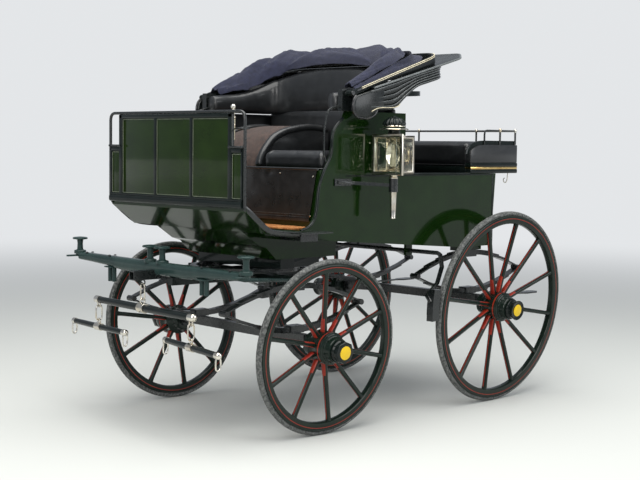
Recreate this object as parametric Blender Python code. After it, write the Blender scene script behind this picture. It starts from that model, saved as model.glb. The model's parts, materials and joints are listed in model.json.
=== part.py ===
# Demi mail phaeton: a four-wheeled driving carriage with a folded hood.
# Metres. +X is the carriage's left side, -Y is forward, +Z is up, z = 0 is the ground.
# Every shape is written about the front axle, straight ahead, and hangs on empties that carry the joints.

import math

import bmesh
import bpy
from mathutils import Matrix, Vector

for old_object in list(bpy.data.objects):
    bpy.data.objects.remove(old_object, do_unlink=True)

# Clearances
GAP = 0.0003
RUN = 0.0006
FRONT_AXLE_Y = -0.5826

# Wheels
WHEELBASE = 1.370
REAR_RADIUS = 0.560
FRONT_RADIUS = 0.457
REAR_SPOKE_CIRCLE = 0.490
FRONT_SPOKE_CIRCLE = 0.390
REAR_RIM_X = 0.694
FRONT_RIM_X = 0.683
REAR_CAMBER = math.radians(5.14)
FRONT_CAMBER = math.radians(4.8)
REAR_SPOKES = 12
FRONT_SPOKES = 10
REAR_FIRST_SPOKE = {"left": math.radians(99.3), "right": math.radians(113.8)}
FRONT_FIRST_SPOKE = {"left": math.radians(83.7), "right": math.radians(98.9)}
WHEEL_SIDES = 32
TYRE_WIDTH = 0.034
TYRE_DEPTH = 0.022
TYRE_SHOULDER = 0.007
FELLOE_WIDTH = 0.040
SPOKE_WIDTH = 0.026
SPOKE_ROOT_WIDTH = 0.036
SPOKE_THICKNESS = 0.024
NAVE_RADIUS = 0.084
NAVE_NECK = 0.066
NAVE_END = 0.062
NAVE_INNER = 0.095
NAVE_OUTER = 0.115
NAVE_BAND = 0.034
NAVE_DRUM = 0.068
CAP_LENGTH = 0.052
CAP_RADIUS = 0.058
CAP_DISC = 0.034
CAP_WALL = 0.007

# Axles
ARM_RADIUS = 0.0225
ARM_SIDES = 12
NUT_RADIUS = 0.030
NUT_LENGTH = 0.014
COLLAR_RADIUS = 0.036
BED_HEIGHT = 0.048
BED_DEPTH = 0.047
BED_HALF = 0.525
REAR_BED_Z = 0.591
FRONT_BED_Z = 0.479
STEP_X = 0.510
STEP_TREAD_LENGTH = 0.16
STEP_TREAD_WIDTH = 0.075
STEP_REAR_Y = WHEELBASE + 0.585
STEP_THICKNESS = 0.008

# Elliptic springs
SPRING_WIDTH = 0.044
MAIN_LEAF = 0.0085
SHORT_LEAF = 0.007
SHORT_REACHES = (0.80, 0.58, 0.36)
SPRING_EYE = 0.016
REAR_SPRING_X = 0.445
REAR_SPRING_HALF = 0.470
REAR_SPRING_TOP = 0.875
FRONT_SPRING_X = 0.420
FRONT_SPRING_HALF = 0.460
FRONT_SPRING_TOP = 0.765

# Fore-carriage, straight ahead
STEER_AT_REST = math.radians(-3.0)
BOLSTER_HALF = 0.470
BOLSTER_DEPTH = 0.090
BOLSTER_HEIGHT = 0.040
FUTCHELL_X = 0.160
FUTCHELL_WIDTH = 0.036
FUTCHELL_FRONT = -0.606
FUTCHELL_REAR = 0.360
RING_OUTER = 0.300
RING_INNER = 0.268
RING_THICKNESS = 0.012
RING_SIDES = 28
KINGPIN_RADIUS = 0.013
KINGPIN_NUT = 0.023
TOP_BED_HALF = 0.340
TOP_BED_DEPTH = 0.100
BAR_Y = -0.584
BAR_TOP = 0.875
BAR_DEPTH = 0.055
BAR_HALF = 0.728
BAR_END_HEIGHT = 0.042
ROLLER_X = 0.753
ROLLER_CENTRE_X = 0.055
ROLLER_HEIGHT = 0.082
ROLLER_CAP = 0.042
ROLLER_STEM = 0.016
POST_X = 0.420
SOCKET_HALF = 0.024
SOCKET_WALL = 0.006
SOCKET_LOW = 0.785
SOCKET_FRONT = -0.735
SOCKET_REAR = -0.430

# Swingletrees
EYE_RADIUS = 0.014
EYE_WIRE = 0.004
LINK_WIRE = 0.0045
LINK_HALF = 0.018
MAIN_TREE_Y = -0.667
MAIN_TREE_Z = 0.638
MAIN_TREE_HALF = 0.483
MAIN_TREE_RADIUS = 0.020
MAIN_BAND_RADIUS = 0.027
MAIN_TREE_YAW = math.radians(-2.4)
HANGER_X = 0.452
SMALL_TREE_HALF = 0.300
SMALL_TREE_RADIUS = 0.0165
SMALL_BAND_RADIUS = 0.021
SMALL_TREE_Z = 0.490
LEFT_TREE_YAW = math.radians(-7.0)
RIGHT_TREE_YAW = math.radians(-1.5)
TRACE_HOOK_DROP = 0.062
TREE_SEAT = 0.0005

# Body
BODY_HALF = 0.550
BODY_WALL = 0.020
BODY_REAR_Y = WHEELBASE + 0.097
BELT_Z = 1.330
SEAT_SIDE_TOP = 1.664
SEAT_BACK_Y = 0.660
SEAT_FRONT_Y = 0.035
SEAT_BOARD_TOP = 1.355
SEAT_BOARD_THICKNESS = 0.020
FLOOR_Z = 1.046
FLOOR_THICKNESS = 0.026
SILL_FRONT_Y = 0.120
SILL_FRONT_Z = 0.985
SILL_REAR_Y = WHEELBASE - 0.200
SILL_REAR_Z = 0.905
BOOT_HALF = 0.360
BOOT_BOTTOM = 0.885
BOOT_REAR_Y = 0.340
FOOTBOARD_HALF = BODY_HALF + 0.010
FOOTBOARD_THICKNESS = FLOOR_THICKNESS
FOOT_FRONT_Y = -0.4842
FOOT_FRONT_Z = 1.176
FOOT_KNEE_Y = -0.335
FOOT_KNEE_Z = 1.066
FOOT_REAR_Y = -0.100
MAT_THICKNESS = 0.012
STEP_PLATE_X = BODY_HALF + 0.110
STEP_PLATE_Z = 1.036

# Dash
DASH_Y = -0.5045
DASH_THICKNESS = 0.020
DASH_BOTTOM = 1.176
DASH_RAIL_HALF = 0.5595
DASH_RAIL_TOP = 1.6529
DASH_RAIL_RADIUS = 0.008
DASH_RAIL_CORNER = 0.035
DASH_CENTRE_HALF = 0.458
DASH_WING_TOP = 1.465
DASH_DIVIDER_X = 0.150
DASH_BEAD = 0.010
DASH_BEAD_DEPTH = 0.006
WHIP_X = 0.432
WHIP_Y = -0.462
WHIP_TOP = 1.682
WHIP_LOW = WHIP_TOP - 0.182

# Driving seat
FALL_THICKNESS = 0.012
FALL_BOTTOM = 1.085
FALL_TOP_HALF = BODY_HALF - 0.022
FALL_BOTTOM_HALF = BODY_HALF - 0.080
CUSHION_Y0 = 0.060
CUSHION_Y1 = 0.600
PASSENGER_X0 = 0.056
PASSENGER_X1 = BODY_HALF - 0.026
PASSENGER_TOP = 1.440
DRIVER_X0 = -BODY_HALF + 0.135
DRIVER_X1 = 0.040
BACK_ARM_X = BODY_HALF - 0.058
BACK_ROLL_THICKNESS = 0.085
BACK_ROLL_LOW = 1.6645

# Hood
HOOD_PIVOT_Y = 0.190
HOOD_PIVOT_Z = 1.755
HOOD_PIN_RADIUS = 0.008
HOOD_PIN_END = BODY_HALF + 0.076
BOW_THICKNESS = 0.008
BOW_WIDTH = 0.026
BOW_EYE = 0.017
BOW_CORNER = 0.130
BOW_FOLD = (math.radians(18.6), math.radians(10.0), math.radians(2.0))
BOW_REACH = (0.745, 0.690, 0.625)
BOW_HALF = (BODY_HALF + 0.062, BODY_HALF + 0.051, BODY_HALF + 0.040)
FLAP_FOLD = math.radians(15.4)
FLAP_REACH = 1.000
FLAP_THICKNESS = 0.010
FLAP_HALF = BODY_HALF + 0.105
BRACKET_X = BODY_HALF + 0.0005

# Lamps
LAMP_X = BODY_HALF + 0.135
LAMP_Y = 0.440
LAMP_WIDTH = 0.220
LAMP_DEPTH = 0.110
LAMP_LOW = 1.331
LAMP_HIGH = 1.548
LAMP_CROWN_TOP = 1.643
LAMP_CROWN_RADIUS = 0.074
LAMP_FRAME = 0.022
LAMP_TAIL = 0.0185
LAMP_TAIL_LOW = 1.100
LAMP_SOCKET = 0.0245
LAMP_SOCKET_LOW = 1.241
LAMP_SOCKET_HIGH = 1.312
LAMP_ARM_Y = 0.150
LAMP_ARM_Z = 1.292

# Rear seat
REAR_SEAT_FRONT = BODY_REAR_Y - 0.217
REAR_SEAT_REAR = BODY_REAR_Y + 0.228
REAR_BASE_THICKNESS = 0.040
REAR_ARM_TOP = 1.500
REAR_ARM_WIDTH = 0.046
REAR_CUSHION_FRONT = REAR_SEAT_FRONT + 0.040
REAR_CUSHION_REAR = REAR_SEAT_REAR - 0.040
REAR_CUSHION_TOP = 1.515
REAR_RAIL_Z = 1.583
REAR_RAIL_RADIUS = 0.006

# Brake
BRAKE_AHEAD = 0.530
BRAKE_Y = WHEELBASE - BRAKE_AHEAD
BRAKE_Z = 0.895
BRAKE_SHAFT = 0.012
BRAKE_ARM_X = REAR_RIM_X - 0.032
BRAKE_BLOCK_X = REAR_RIM_X + 0.006
BRAKE_ARM_WIDTH = 0.022
BRAKE_GAP = 0.0195
BLOCK_THICKNESS = 0.055
BLOCK_WIDTH = 0.044
HANGER_BRAKE_X = 0.440

REAR_HUB_Z = REAR_RADIUS * math.cos(REAR_CAMBER)
FRONT_HUB_Z = FRONT_RADIUS * math.cos(FRONT_CAMBER)
BOLSTER_LOW = FRONT_SPRING_TOP + GAP
BOLSTER_TOP = BOLSTER_LOW + BOLSTER_HEIGHT
LOWER_RING_LOW = BOLSTER_TOP + GAP
LOWER_RING_TOP = LOWER_RING_LOW + RING_THICKNESS
UPPER_RING_LOW = LOWER_RING_TOP + GAP
UPPER_RING_TOP = UPPER_RING_LOW + RING_THICKNESS
SPRING_PACK = MAIN_LEAF + SHORT_LEAF * len(SHORT_REACHES)
SEAT_LEVEL = SEAT_BOARD_TOP + GAP


# Materials

def finish(name, colour, roughness, metallic=0.0):
    material = bpy.data.materials.new(name)
    material.use_nodes = True
    shader = material.node_tree.nodes["Principled BSDF"]
    shader.inputs["Base Color"].default_value = (*colour, 1.0)
    shader.inputs["Roughness"].default_value = roughness
    shader.inputs["Metallic"].default_value = metallic
    return material


GREEN = finish("coach_green", (0.016, 0.035, 0.012), 0.12)
BLACK = finish("carriage_black", (0.008, 0.012, 0.010), 0.18)
WHEEL_PAINT = finish("wheel_green_black", (0.010, 0.016, 0.013), 0.2)
RUBBER = finish("tyre_rubber", (0.09, 0.10, 0.10), 0.75)
NICKEL = finish("nickel_plate", (0.72, 0.69, 0.60), 0.25, 1.0)
CAP_PAINT = finish("hub_cap_black", (0.012, 0.014, 0.012), 0.2)
LEATHER = finish("black_leather", (0.012, 0.012, 0.013), 0.35)
BROWN_CLOTH = finish("brown_cloth", (0.045, 0.026, 0.020), 0.9)
NAVY = finish("navy_cloth", (0.010, 0.012, 0.035), 0.85)
HOOD_LEATHER = finish("hood_leather", (0.020, 0.026, 0.026), 0.25)
COIR = finish("coir_mat", (0.45, 0.20, 0.06), 0.95)
SPRING_STEEL = finish("spring_paint", (0.012, 0.018, 0.016), 0.3)


# Shapes. Each helper returns a closed bmesh, which union and cut combine.

def outward(shape):
    bmesh.ops.recalc_face_normals(shape, faces=shape.faces)
    if shape.calc_volume(signed=True) < 0:
        bmesh.ops.reverse_faces(shape, faces=shape.faces)
    return shape


def block(low, high):
    shape = bmesh.new()
    bmesh.ops.create_cube(shape, size=1.0)
    low = Vector(low)
    high = Vector(high)
    bmesh.ops.scale(shape, vec=high - low, verts=shape.verts)
    bmesh.ops.translate(shape, vec=(low + high) / 2, verts=shape.verts)
    return shape


def slab(outline, low, high, axis):
    # A flat outline drawn across the axis, extruded from low to high along it.
    place = {
        "X": lambda u, v, w: (w, u, v),
        "Y": lambda u, v, w: (u, w, v),
        "Z": lambda u, v, w: (u, v, w),
    }[axis]
    shape = bmesh.new()
    corners = [shape.verts.new(place(u, v, low)) for u, v in outline]
    face = shape.faces.new(corners)
    grown = bmesh.ops.extrude_face_region(shape, geom=[face])
    moved_corners = [item for item in grown["geom"] if isinstance(item, bmesh.types.BMVert)]
    bmesh.ops.translate(shape, vec=Vector(place(0, 0, high - low)), verts=moved_corners)
    return outward(shape)


def turned(profile, sides, axis="X", ring=False, half_step=False):
    # A profile of (along, radius) pairs spun about the axis. A ring's profile is a closed loop.
    shape = bmesh.new()
    corners = [shape.verts.new((along, radius, 0)) for along, radius in profile]
    pairs = list(zip(corners, corners[1:]))
    if ring:
        pairs.append((corners[-1], corners[0]))
    edges = [shape.edges.new(pair) for pair in pairs]
    bmesh.ops.spin(shape, geom=corners + edges, cent=(0, 0, 0), axis=(1, 0, 0),
                   angle=math.tau, steps=sides, use_merge=True)
    bmesh.ops.remove_doubles(shape, verts=shape.verts, dist=1e-6)
    if half_step:
        bmesh.ops.rotate(shape, cent=(0, 0, 0), matrix=Matrix.Rotation(math.pi / sides, 3, "X"), verts=shape.verts)
    if axis == "Z":
        bmesh.ops.rotate(shape, cent=(0, 0, 0), matrix=Matrix.Rotation(-math.pi / 2, 3, "Y"), verts=shape.verts)
    if axis == "Y":
        bmesh.ops.rotate(shape, cent=(0, 0, 0), matrix=Matrix.Rotation(math.pi / 2, 3, "Z"), verts=shape.verts)
    return outward(shape)


def cylinder(start, end, radius, sides=12, axis="X"):
    return turned([(start, 0), (start, radius), (end, radius), (end, 0)], sides, axis)


def swept(path, section, up=(0, 0, 1), closed=False):
    # One section, or a list with one section for each point, carried along the path.
    shape = bmesh.new()
    points = [Vector(point) for point in path]
    count = len(points)
    rings = []
    for index, point in enumerate(points):
        before = points[index - 1] if closed or index > 0 else point
        after = points[(index + 1) % count] if closed or index < count - 1 else point
        tangent = ((after - point).normalized() + (point - before).normalized()).normalized()
        side = tangent.cross(Vector(up)).normalized()
        lift = side.cross(tangent)
        here = section[index] if isinstance(section[0], list) else section
        rings.append([shape.verts.new(point + side * a + lift * b) for a, b in here])
    steps = count if closed else count - 1
    for index in range(steps):
        first = rings[index]
        second = rings[(index + 1) % count]
        for corner in range(len(first)):
            nearby = (corner + 1) % len(first)
            shape.faces.new((first[corner], first[nearby], second[nearby], second[corner]))
    if not closed:
        shape.faces.new(rings[0][::-1])
        shape.faces.new(rings[-1])
    return outward(shape)


def round_section(radius, sides=8):
    return oval_section(radius, radius, sides)


def oval_section(half_width, half_height, sides=12, centre=(0.0, 0.0)):
    turns = [math.tau * (step + 0.5) / sides for step in range(sides)]
    return [(centre[0] + half_width * math.cos(turn), centre[1] + half_height * math.sin(turn)) for turn in turns]


def flat_section(width, height, bevel=0.0):
    w = width / 2
    h = height / 2
    if bevel == 0:
        return [(-w, -h), (w, -h), (w, h), (-w, h)]
    return [(-w + bevel, -h), (w - bevel, -h), (w, -h + bevel), (w, h - bevel),
            (w - bevel, h), (-w + bevel, h), (-w, h - bevel), (-w, -h + bevel)]


def filleted(path, radius, steps=4):
    # Rounds the inner corners of a path of points.
    points = [Vector(point) for point in path]
    result = [points[0]]
    for before, corner, after in zip(points, points[1:], points[2:]):
        inward = (before - corner).normalized()
        outward = (after - corner).normalized()
        bend = inward.angle(outward)
        reach = min(radius / math.tan(bend / 2), (before - corner).length * 0.49, (after - corner).length * 0.49)
        start = corner + inward * reach
        finish_point = corner + outward * reach
        for step in range(steps + 1):
            share = step / steps
            first = start.lerp(corner, share)
            second = corner.lerp(finish_point, share)
            result.append(first.lerp(second, share))
    result.append(points[-1])
    return result


def torus(centre, major, minor, plane, sides=10, wire_sides=5):
    points = []
    for step in range(sides):
        turn = math.tau * (step + 0.5) / sides
        a = major * math.cos(turn)
        b = major * math.sin(turn)
        offset = {"YZ": (0, a, b), "XZ": (a, 0, b), "XY": (a, b, 0)}[plane]
        points.append(Vector(centre) + Vector(offset))
    up = {"YZ": (1, 0, 0), "XZ": (0, 1, 0), "XY": (0, 0, 1)}[plane]
    return swept(points, round_section(minor, wire_sides), up=up, closed=True)


def moved(shape, matrix):
    bmesh.ops.transform(shape, matrix=matrix, verts=shape.verts)
    return shape


def shifted(shape, x=0.0, y=0.0, z=0.0):
    return moved(shape, Matrix.Translation((x, y, z)))


def mirrored(shape):
    copy = shape.copy()
    bmesh.ops.scale(copy, vec=(-1, 1, 1), verts=copy.verts)
    bmesh.ops.reverse_faces(copy, faces=copy.faces)
    return copy


def scratch_object(shape):
    mesh = bpy.data.meshes.new("scratch")
    shape.to_mesh(mesh)
    shape.free()
    thing = bpy.data.objects.new("scratch", mesh)
    bpy.context.scene.collection.objects.link(thing)
    return thing


def combined(base, tools, operation):
    body = scratch_object(base)
    for tool in tools:
        other = scratch_object(tool)
        change = body.modifiers.new("change", "BOOLEAN")
        change.operation = operation
        change.solver = "EXACT"
        change.object = other
        graph = bpy.context.evaluated_depsgraph_get()
        result = bpy.data.meshes.new_from_object(body.evaluated_get(graph))
        body.modifiers.remove(change)
        body.data = result
        bpy.data.objects.remove(other, do_unlink=True)
    shape = bmesh.new()
    shape.from_mesh(body.data)
    bpy.data.objects.remove(body, do_unlink=True)
    return shape


def union(base, *tools):
    return combined(base, tools, "UNION")


def cut(base, *tools):
    return combined(base, tools, "DIFFERENCE")


def empty(name, parent=None, place=(0, 0, 0), turn=(0, 0, 0)):
    anchor = bpy.data.objects.new(name, None)
    bpy.context.scene.collection.objects.link(anchor)
    anchor.location = place
    anchor.rotation_euler = turn
    anchor.parent = parent
    return anchor


def clean_mesh(name, shape):
    bmesh.ops.remove_doubles(shape, verts=shape.verts, dist=2e-6)
    bmesh.ops.dissolve_degenerate(shape, edges=shape.edges, dist=1e-6)
    mesh = bpy.data.meshes.new(name)
    shape.to_mesh(mesh)
    shape.free()
    mesh.shade_smooth()
    mesh.set_sharp_from_angle(angle=math.radians(32))
    return mesh


def piece_of_mesh(name, mesh, material, parent):
    part = bpy.data.objects.new(name, mesh)
    bpy.context.scene.collection.objects.link(part)
    if not mesh.materials:
        mesh.materials.append(material)
    part.parent = parent
    return part


def piece(name, shape, material, parent):
    return piece_of_mesh(name, clean_mesh(name, shape), material, parent)


# The empties that carry the joints

carriage = empty("carriage", place=(0, FRONT_AXLE_Y, 0))
fore_carriage = empty("fore_carriage", carriage, turn=(0, 0, STEER_AT_REST))
LEFT = 1
RIGHT = -1
SIDES = {"left": LEFT, "right": RIGHT}


def wheel_turn(side, camber):
    return (0, camber, 0 if side == LEFT else math.pi)


wheel_hubs = {}
for side_name, side in SIDES.items():
    wheel_hubs["front_" + side_name] = empty("hub_front_" + side_name, fore_carriage,
                                             (side * FRONT_RIM_X, 0, FRONT_HUB_Z), wheel_turn(side, FRONT_CAMBER))
    wheel_hubs["rear_" + side_name] = empty("hub_rear_" + side_name, carriage,
                                            (side * REAR_RIM_X, WHEELBASE, REAR_HUB_Z), wheel_turn(side, REAR_CAMBER))


# Wheels, in a frame with the axle along X, outboard positive, and the rim's middle at x = 0

def nave_centre(spoke_circle, camber):
    # The spokes lean outwards by the camber, so that the lowest one stands upright.
    return -(spoke_circle - NAVE_RADIUS) * math.tan(camber)


def felloe_outer(radius):
    return radius - TYRE_DEPTH


def over_flat(radius, sides=WHEEL_SIDES):
    return radius / math.cos(math.pi / sides)


def tyre_shape(radius, camber):
    # The tread is coned by the camber, so it lies flat on the ground.
    inner = over_flat(felloe_outer(radius) + GAP)
    half = TYRE_WIDTH / 2
    flat = half - TYRE_SHOULDER
    lean = math.tan(camber)
    profile = [(-half, inner), (half, inner), (half, over_flat(radius - TYRE_SHOULDER - half * lean)),
               (flat, over_flat(radius - flat * lean)), (-flat, over_flat(radius + flat * lean)),
               (-half, over_flat(radius - TYRE_SHOULDER + half * lean))]
    return turned(profile, WHEEL_SIDES, ring=True, half_step=True)


def spoke_shape(centre, spoke_circle, turn):
    root = Vector((centre, 0, NAVE_RADIUS - 0.014))
    throat = Vector((centre * 0.72, 0, NAVE_RADIUS + 0.28 * (spoke_circle - NAVE_RADIUS)))
    tip = Vector((0, 0, spoke_circle + 0.012))
    narrow = oval_section(SPOKE_WIDTH * 0.56, SPOKE_THICKNESS * 0.56, 6)
    wide = oval_section(SPOKE_ROOT_WIDTH * 0.56, SPOKE_THICKNESS * 0.5, 6)
    shape = swept([root, throat, tip], [wide, narrow, narrow], up=(0, 1, 0))
    return moved(shape, Matrix.Rotation(turn, 4, "X"))


def wheel_shape(radius, spoke_circle, camber, count, first):
    centre = nave_centre(spoke_circle, camber)
    bore = over_flat(ARM_RADIUS + RUN, ARM_SIDES)
    nave = turned([(centre - NAVE_INNER, NAVE_END), (centre - NAVE_INNER + 0.012, NAVE_NECK),
                   (centre - NAVE_BAND - 0.008, NAVE_NECK + 0.008), (centre - NAVE_BAND, NAVE_RADIUS),
                   (centre + NAVE_DRUM, NAVE_RADIUS), (centre + NAVE_DRUM + 0.006, NAVE_NECK + 0.004),
                   (centre + NAVE_OUTER - 0.012, NAVE_NECK), (centre + NAVE_OUTER, NAVE_END),
                   (centre + NAVE_OUTER, bore), (centre - NAVE_INNER, bore)], ARM_SIDES, ring=True)
    half = FELLOE_WIDTH / 2
    inner = over_flat(spoke_circle)
    outer = over_flat(felloe_outer(radius))
    felloe = turned([(-half, inner), (half, inner), (half, outer), (-half, outer)], WHEEL_SIDES,
                    ring=True, half_step=True)
    spokes = []
    for number in range(count):
        angle = first - number * math.tau / count
        spokes.append(spoke_shape(centre, spoke_circle, math.pi / 2 - angle))
    return union(nave, *spokes, felloe)


def cap_shape(spoke_circle, camber, corners):
    # A screwed cap over the axle nut, with a plain raised disc on its face.
    start = nave_centre(spoke_circle, camber) + NAVE_OUTER + GAP
    hollow = NUT_LENGTH + 0.012
    flange = turned([(start + hollow, 0), (start + hollow, NUT_RADIUS + 0.003), (start, NUT_RADIUS + 0.003),
                     (start, CAP_RADIUS), (start + 0.014, CAP_RADIUS), (start + 0.020, CAP_RADIUS - CAP_WALL / 2),
                     (start + CAP_LENGTH - 0.004, CAP_RADIUS - CAP_WALL), (start + CAP_LENGTH, CAP_DISC),
                     (start + CAP_LENGTH, 0)], 12 if corners == 0 else corners)
    if corners == 0:
        return flange
    nut = turned([(start + 0.022, 0), (start + 0.022, CAP_RADIUS), (start + CAP_LENGTH - 0.006, CAP_RADIUS),
                  (start + CAP_LENGTH - 0.002, CAP_RADIUS - 0.006), (start + CAP_LENGTH - 0.002, 0)], corners)
    return union(flange, nut)


rear_wheel = {}
front_wheel = {}
for side_name in SIDES:
    rear_shape = wheel_shape(REAR_RADIUS, REAR_SPOKE_CIRCLE, REAR_CAMBER, REAR_SPOKES, REAR_FIRST_SPOKE[side_name])
    rear_wheel[side_name] = clean_mesh("rear_wheel_" + side_name, rear_shape)
    front_shape = wheel_shape(FRONT_RADIUS, FRONT_SPOKE_CIRCLE, FRONT_CAMBER, FRONT_SPOKES, FRONT_FIRST_SPOKE[side_name])
    front_wheel[side_name] = clean_mesh("front_wheel_" + side_name, front_shape)
rear_tyre = clean_mesh("rear_tyre", tyre_shape(REAR_RADIUS, REAR_CAMBER))
front_tyre = clean_mesh("front_tyre", tyre_shape(FRONT_RADIUS, FRONT_CAMBER))
rear_cap = clean_mesh("rear_cap", cap_shape(REAR_SPOKE_CIRCLE, REAR_CAMBER, 0))
front_cap = clean_mesh("front_cap", cap_shape(FRONT_SPOKE_CIRCLE, FRONT_CAMBER, 8))

for corner, hub in wheel_hubs.items():
    at_rear = corner.startswith("rear")
    side_name = corner.split("_")[1]
    piece_of_mesh("wheel_" + corner, rear_wheel[side_name] if at_rear else front_wheel[side_name], WHEEL_PAINT, hub)
    piece_of_mesh("tyre_" + corner, rear_tyre if at_rear else front_tyre, RUBBER, hub)
    piece_of_mesh("hub_cap_" + corner, rear_cap if at_rear else front_cap, CAP_PAINT, hub)


# Axles, with their arms through the naves

def axle_shape(bed_z, rim_x, hub_z, spoke_circle, camber, axle_y):
    centre = nave_centre(spoke_circle, camber)
    inner_end = centre - NAVE_INNER - GAP
    nut_start = centre + NAVE_OUTER + GAP
    shapes = []
    for side in SIDES.values():
        arm = turned([(inner_end - 0.060, 0), (inner_end - 0.060, ARM_RADIUS), (inner_end - 0.014, ARM_RADIUS),
                      (inner_end - 0.014, COLLAR_RADIUS), (inner_end, COLLAR_RADIUS), (inner_end, ARM_RADIUS),
                      (nut_start, ARM_RADIUS), (nut_start, NUT_RADIUS), (nut_start + NUT_LENGTH, NUT_RADIUS),
                      (nut_start + NUT_LENGTH, 0)], ARM_SIDES)
        turn = Matrix.Rotation(0 if side == LEFT else math.pi, 4, "Z") @ Matrix.Rotation(camber, 4, "Y")
        shapes.append(moved(arm, Matrix.Translation((side * rim_x, axle_y, hub_z)) @ turn))
    low = bed_z - BED_HEIGHT / 2
    bed = block((-BED_HALF, axle_y - BED_DEPTH / 2, low), (BED_HALF, axle_y + BED_DEPTH / 2, low + BED_HEIGHT))
    return union(bed, *shapes)


def rear_step(side):
    # A flat iron arm bolted over the axle bed, ending in an oval tread.
    z = REAR_BED_Z
    half = STEP_TREAD_WIDTH / 2
    front = STEP_REAR_Y - STEP_TREAD_LENGTH
    outline = [(-0.015, WHEELBASE), (0.015, WHEELBASE), (0.015, front), (half, front + 0.030),
               (half, STEP_REAR_Y - 0.030), (half - 0.020, STEP_REAR_Y), (-half + 0.020, STEP_REAR_Y),
               (-half, STEP_REAR_Y - 0.030), (-half, front + 0.030), (-0.015, front)]
    plate = slab([(side * STEP_X + u, v) for u, v in outline], z - STEP_THICKNESS / 2, z + STEP_THICKNESS / 2, "Z")
    return plate


front_axle = axle_shape(FRONT_BED_Z, FRONT_RIM_X, FRONT_HUB_Z, FRONT_SPOKE_CIRCLE, FRONT_CAMBER, 0)
rear_axle = axle_shape(REAR_BED_Z, REAR_RIM_X, REAR_HUB_Z, REAR_SPOKE_CIRCLE, REAR_CAMBER, WHEELBASE)
piece("front_axle", front_axle, BLACK, fore_carriage)
piece("rear_axle", union(rear_axle, rear_step(LEFT), rear_step(RIGHT)), BLACK, carriage)


# Elliptic springs: a main leaf from eye to eye, and shorter leaves stacked outside it

def spring_half(half_span, rise, direction):
    inner = []
    outer = []
    steps = 10
    for step in range(steps + 1):
        share = -1 + 2 * step / steps
        inner.append((share * half_span, rise * (1 - share * share)))
    stations = {-1.0, 1.0, 0.0, -0.2, 0.2, -0.69, 0.69, -0.9, 0.9}
    reaches = sorted(SHORT_REACHES)
    shares = sorted(stations | {reach for reach in reaches} | {-reach for reach in reaches})
    for share in shares:
        height = rise * (1 - share * share) + MAIN_LEAF
        covered = sum(1 for reach in reaches if abs(share) < reach)
        at_tip = sum(1 for reach in reaches if abs(abs(share) - reach) < 1e-9)
        low = (share * half_span, height + covered * SHORT_LEAF)
        high = (share * half_span, height + (covered + at_tip) * SHORT_LEAF)
        if at_tip == 0:
            outer.append(low)
        elif share < 0:
            outer.extend([low, high])
        else:
            outer.extend([high, low])
    outline = inner + outer[::-1]
    return [(y, direction * z) for y, z in outline]


def spring_shape(x, y, half_span, low, high):
    middle = (low + high) / 2
    rise = (high - low) / 2 - SPRING_PACK
    halves = []
    for direction in (1, -1):
        half = slab(spring_half(half_span, rise, direction), -SPRING_WIDTH / 2, SPRING_WIDTH / 2, "X")
        halves.append(half)
    eyes = []
    for end in (-1, 1):
        eye = cylinder(-SPRING_WIDTH / 2 - 0.006, SPRING_WIDTH / 2 + 0.006, SPRING_EYE, 10)
        eyes.append(shifted(eye, y=end * half_span))
    clips = []
    for direction in (1, -1):
        edge = direction * (rise - 0.010)
        far = direction * (rise + SPRING_PACK)
        clips.append(block((-SPRING_WIDTH / 2 - 0.008, -0.045, min(edge, far)),
                           (SPRING_WIDTH / 2 + 0.008, 0.045, max(edge, far))))
    return shifted(union(halves[0], halves[1], *eyes, *clips), x, y, middle)


for side_name, side in SIDES.items():
    front_low = FRONT_BED_Z + BED_HEIGHT / 2 + GAP
    rear_low = REAR_BED_Z + BED_HEIGHT / 2 + GAP
    piece("spring_front_" + side_name, spring_shape(side * FRONT_SPRING_X, 0, FRONT_SPRING_HALF, front_low,
                                                    FRONT_SPRING_TOP), SPRING_STEEL, fore_carriage)
    piece("spring_rear_" + side_name, spring_shape(side * REAR_SPRING_X, WHEELBASE, REAR_SPRING_HALF, rear_low,
                                                   REAR_SPRING_TOP), SPRING_STEEL, carriage)


# Turntable, kingpin and the fore-carriage frame

def ring_shape(low, thickness):
    return turned([(low, RING_INNER), (low, RING_OUTER), (low + thickness, RING_OUTER),
                   (low + thickness, RING_INNER)], RING_SIDES, "Z", ring=True)


piece("turntable_lower_ring", ring_shape(LOWER_RING_LOW, RING_THICKNESS), BLACK, fore_carriage)
piece("turntable_upper_ring", ring_shape(UPPER_RING_LOW, RING_THICKNESS), BLACK, carriage)

bolster = block((-BOLSTER_HALF, -BOLSTER_DEPTH / 2, BOLSTER_LOW), (BOLSTER_HALF, BOLSTER_DEPTH / 2, BOLSTER_TOP))
futchells = []
for side in SIDES.values():
    futchells.append(block((side * FUTCHELL_X - FUTCHELL_WIDTH / 2, FUTCHELL_FRONT, BOLSTER_LOW),
                           (side * FUTCHELL_X + FUTCHELL_WIDTH / 2, FUTCHELL_REAR, BOLSTER_TOP)))
sway_bar = block((-FUTCHELL_X - 0.040, FUTCHELL_REAR - 0.040, BOLSTER_LOW),
                 (FUTCHELL_X + 0.040, FUTCHELL_REAR, BOLSTER_TOP))
pin_hole = cylinder(BOLSTER_LOW - 0.01, BOLSTER_TOP + 0.01, over_flat(KINGPIN_RADIUS + RUN, 16), 16, "Z")
piece("fore_carriage_frame", cut(union(bolster, *futchells, sway_bar), pin_hole), BLACK, fore_carriage)

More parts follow.
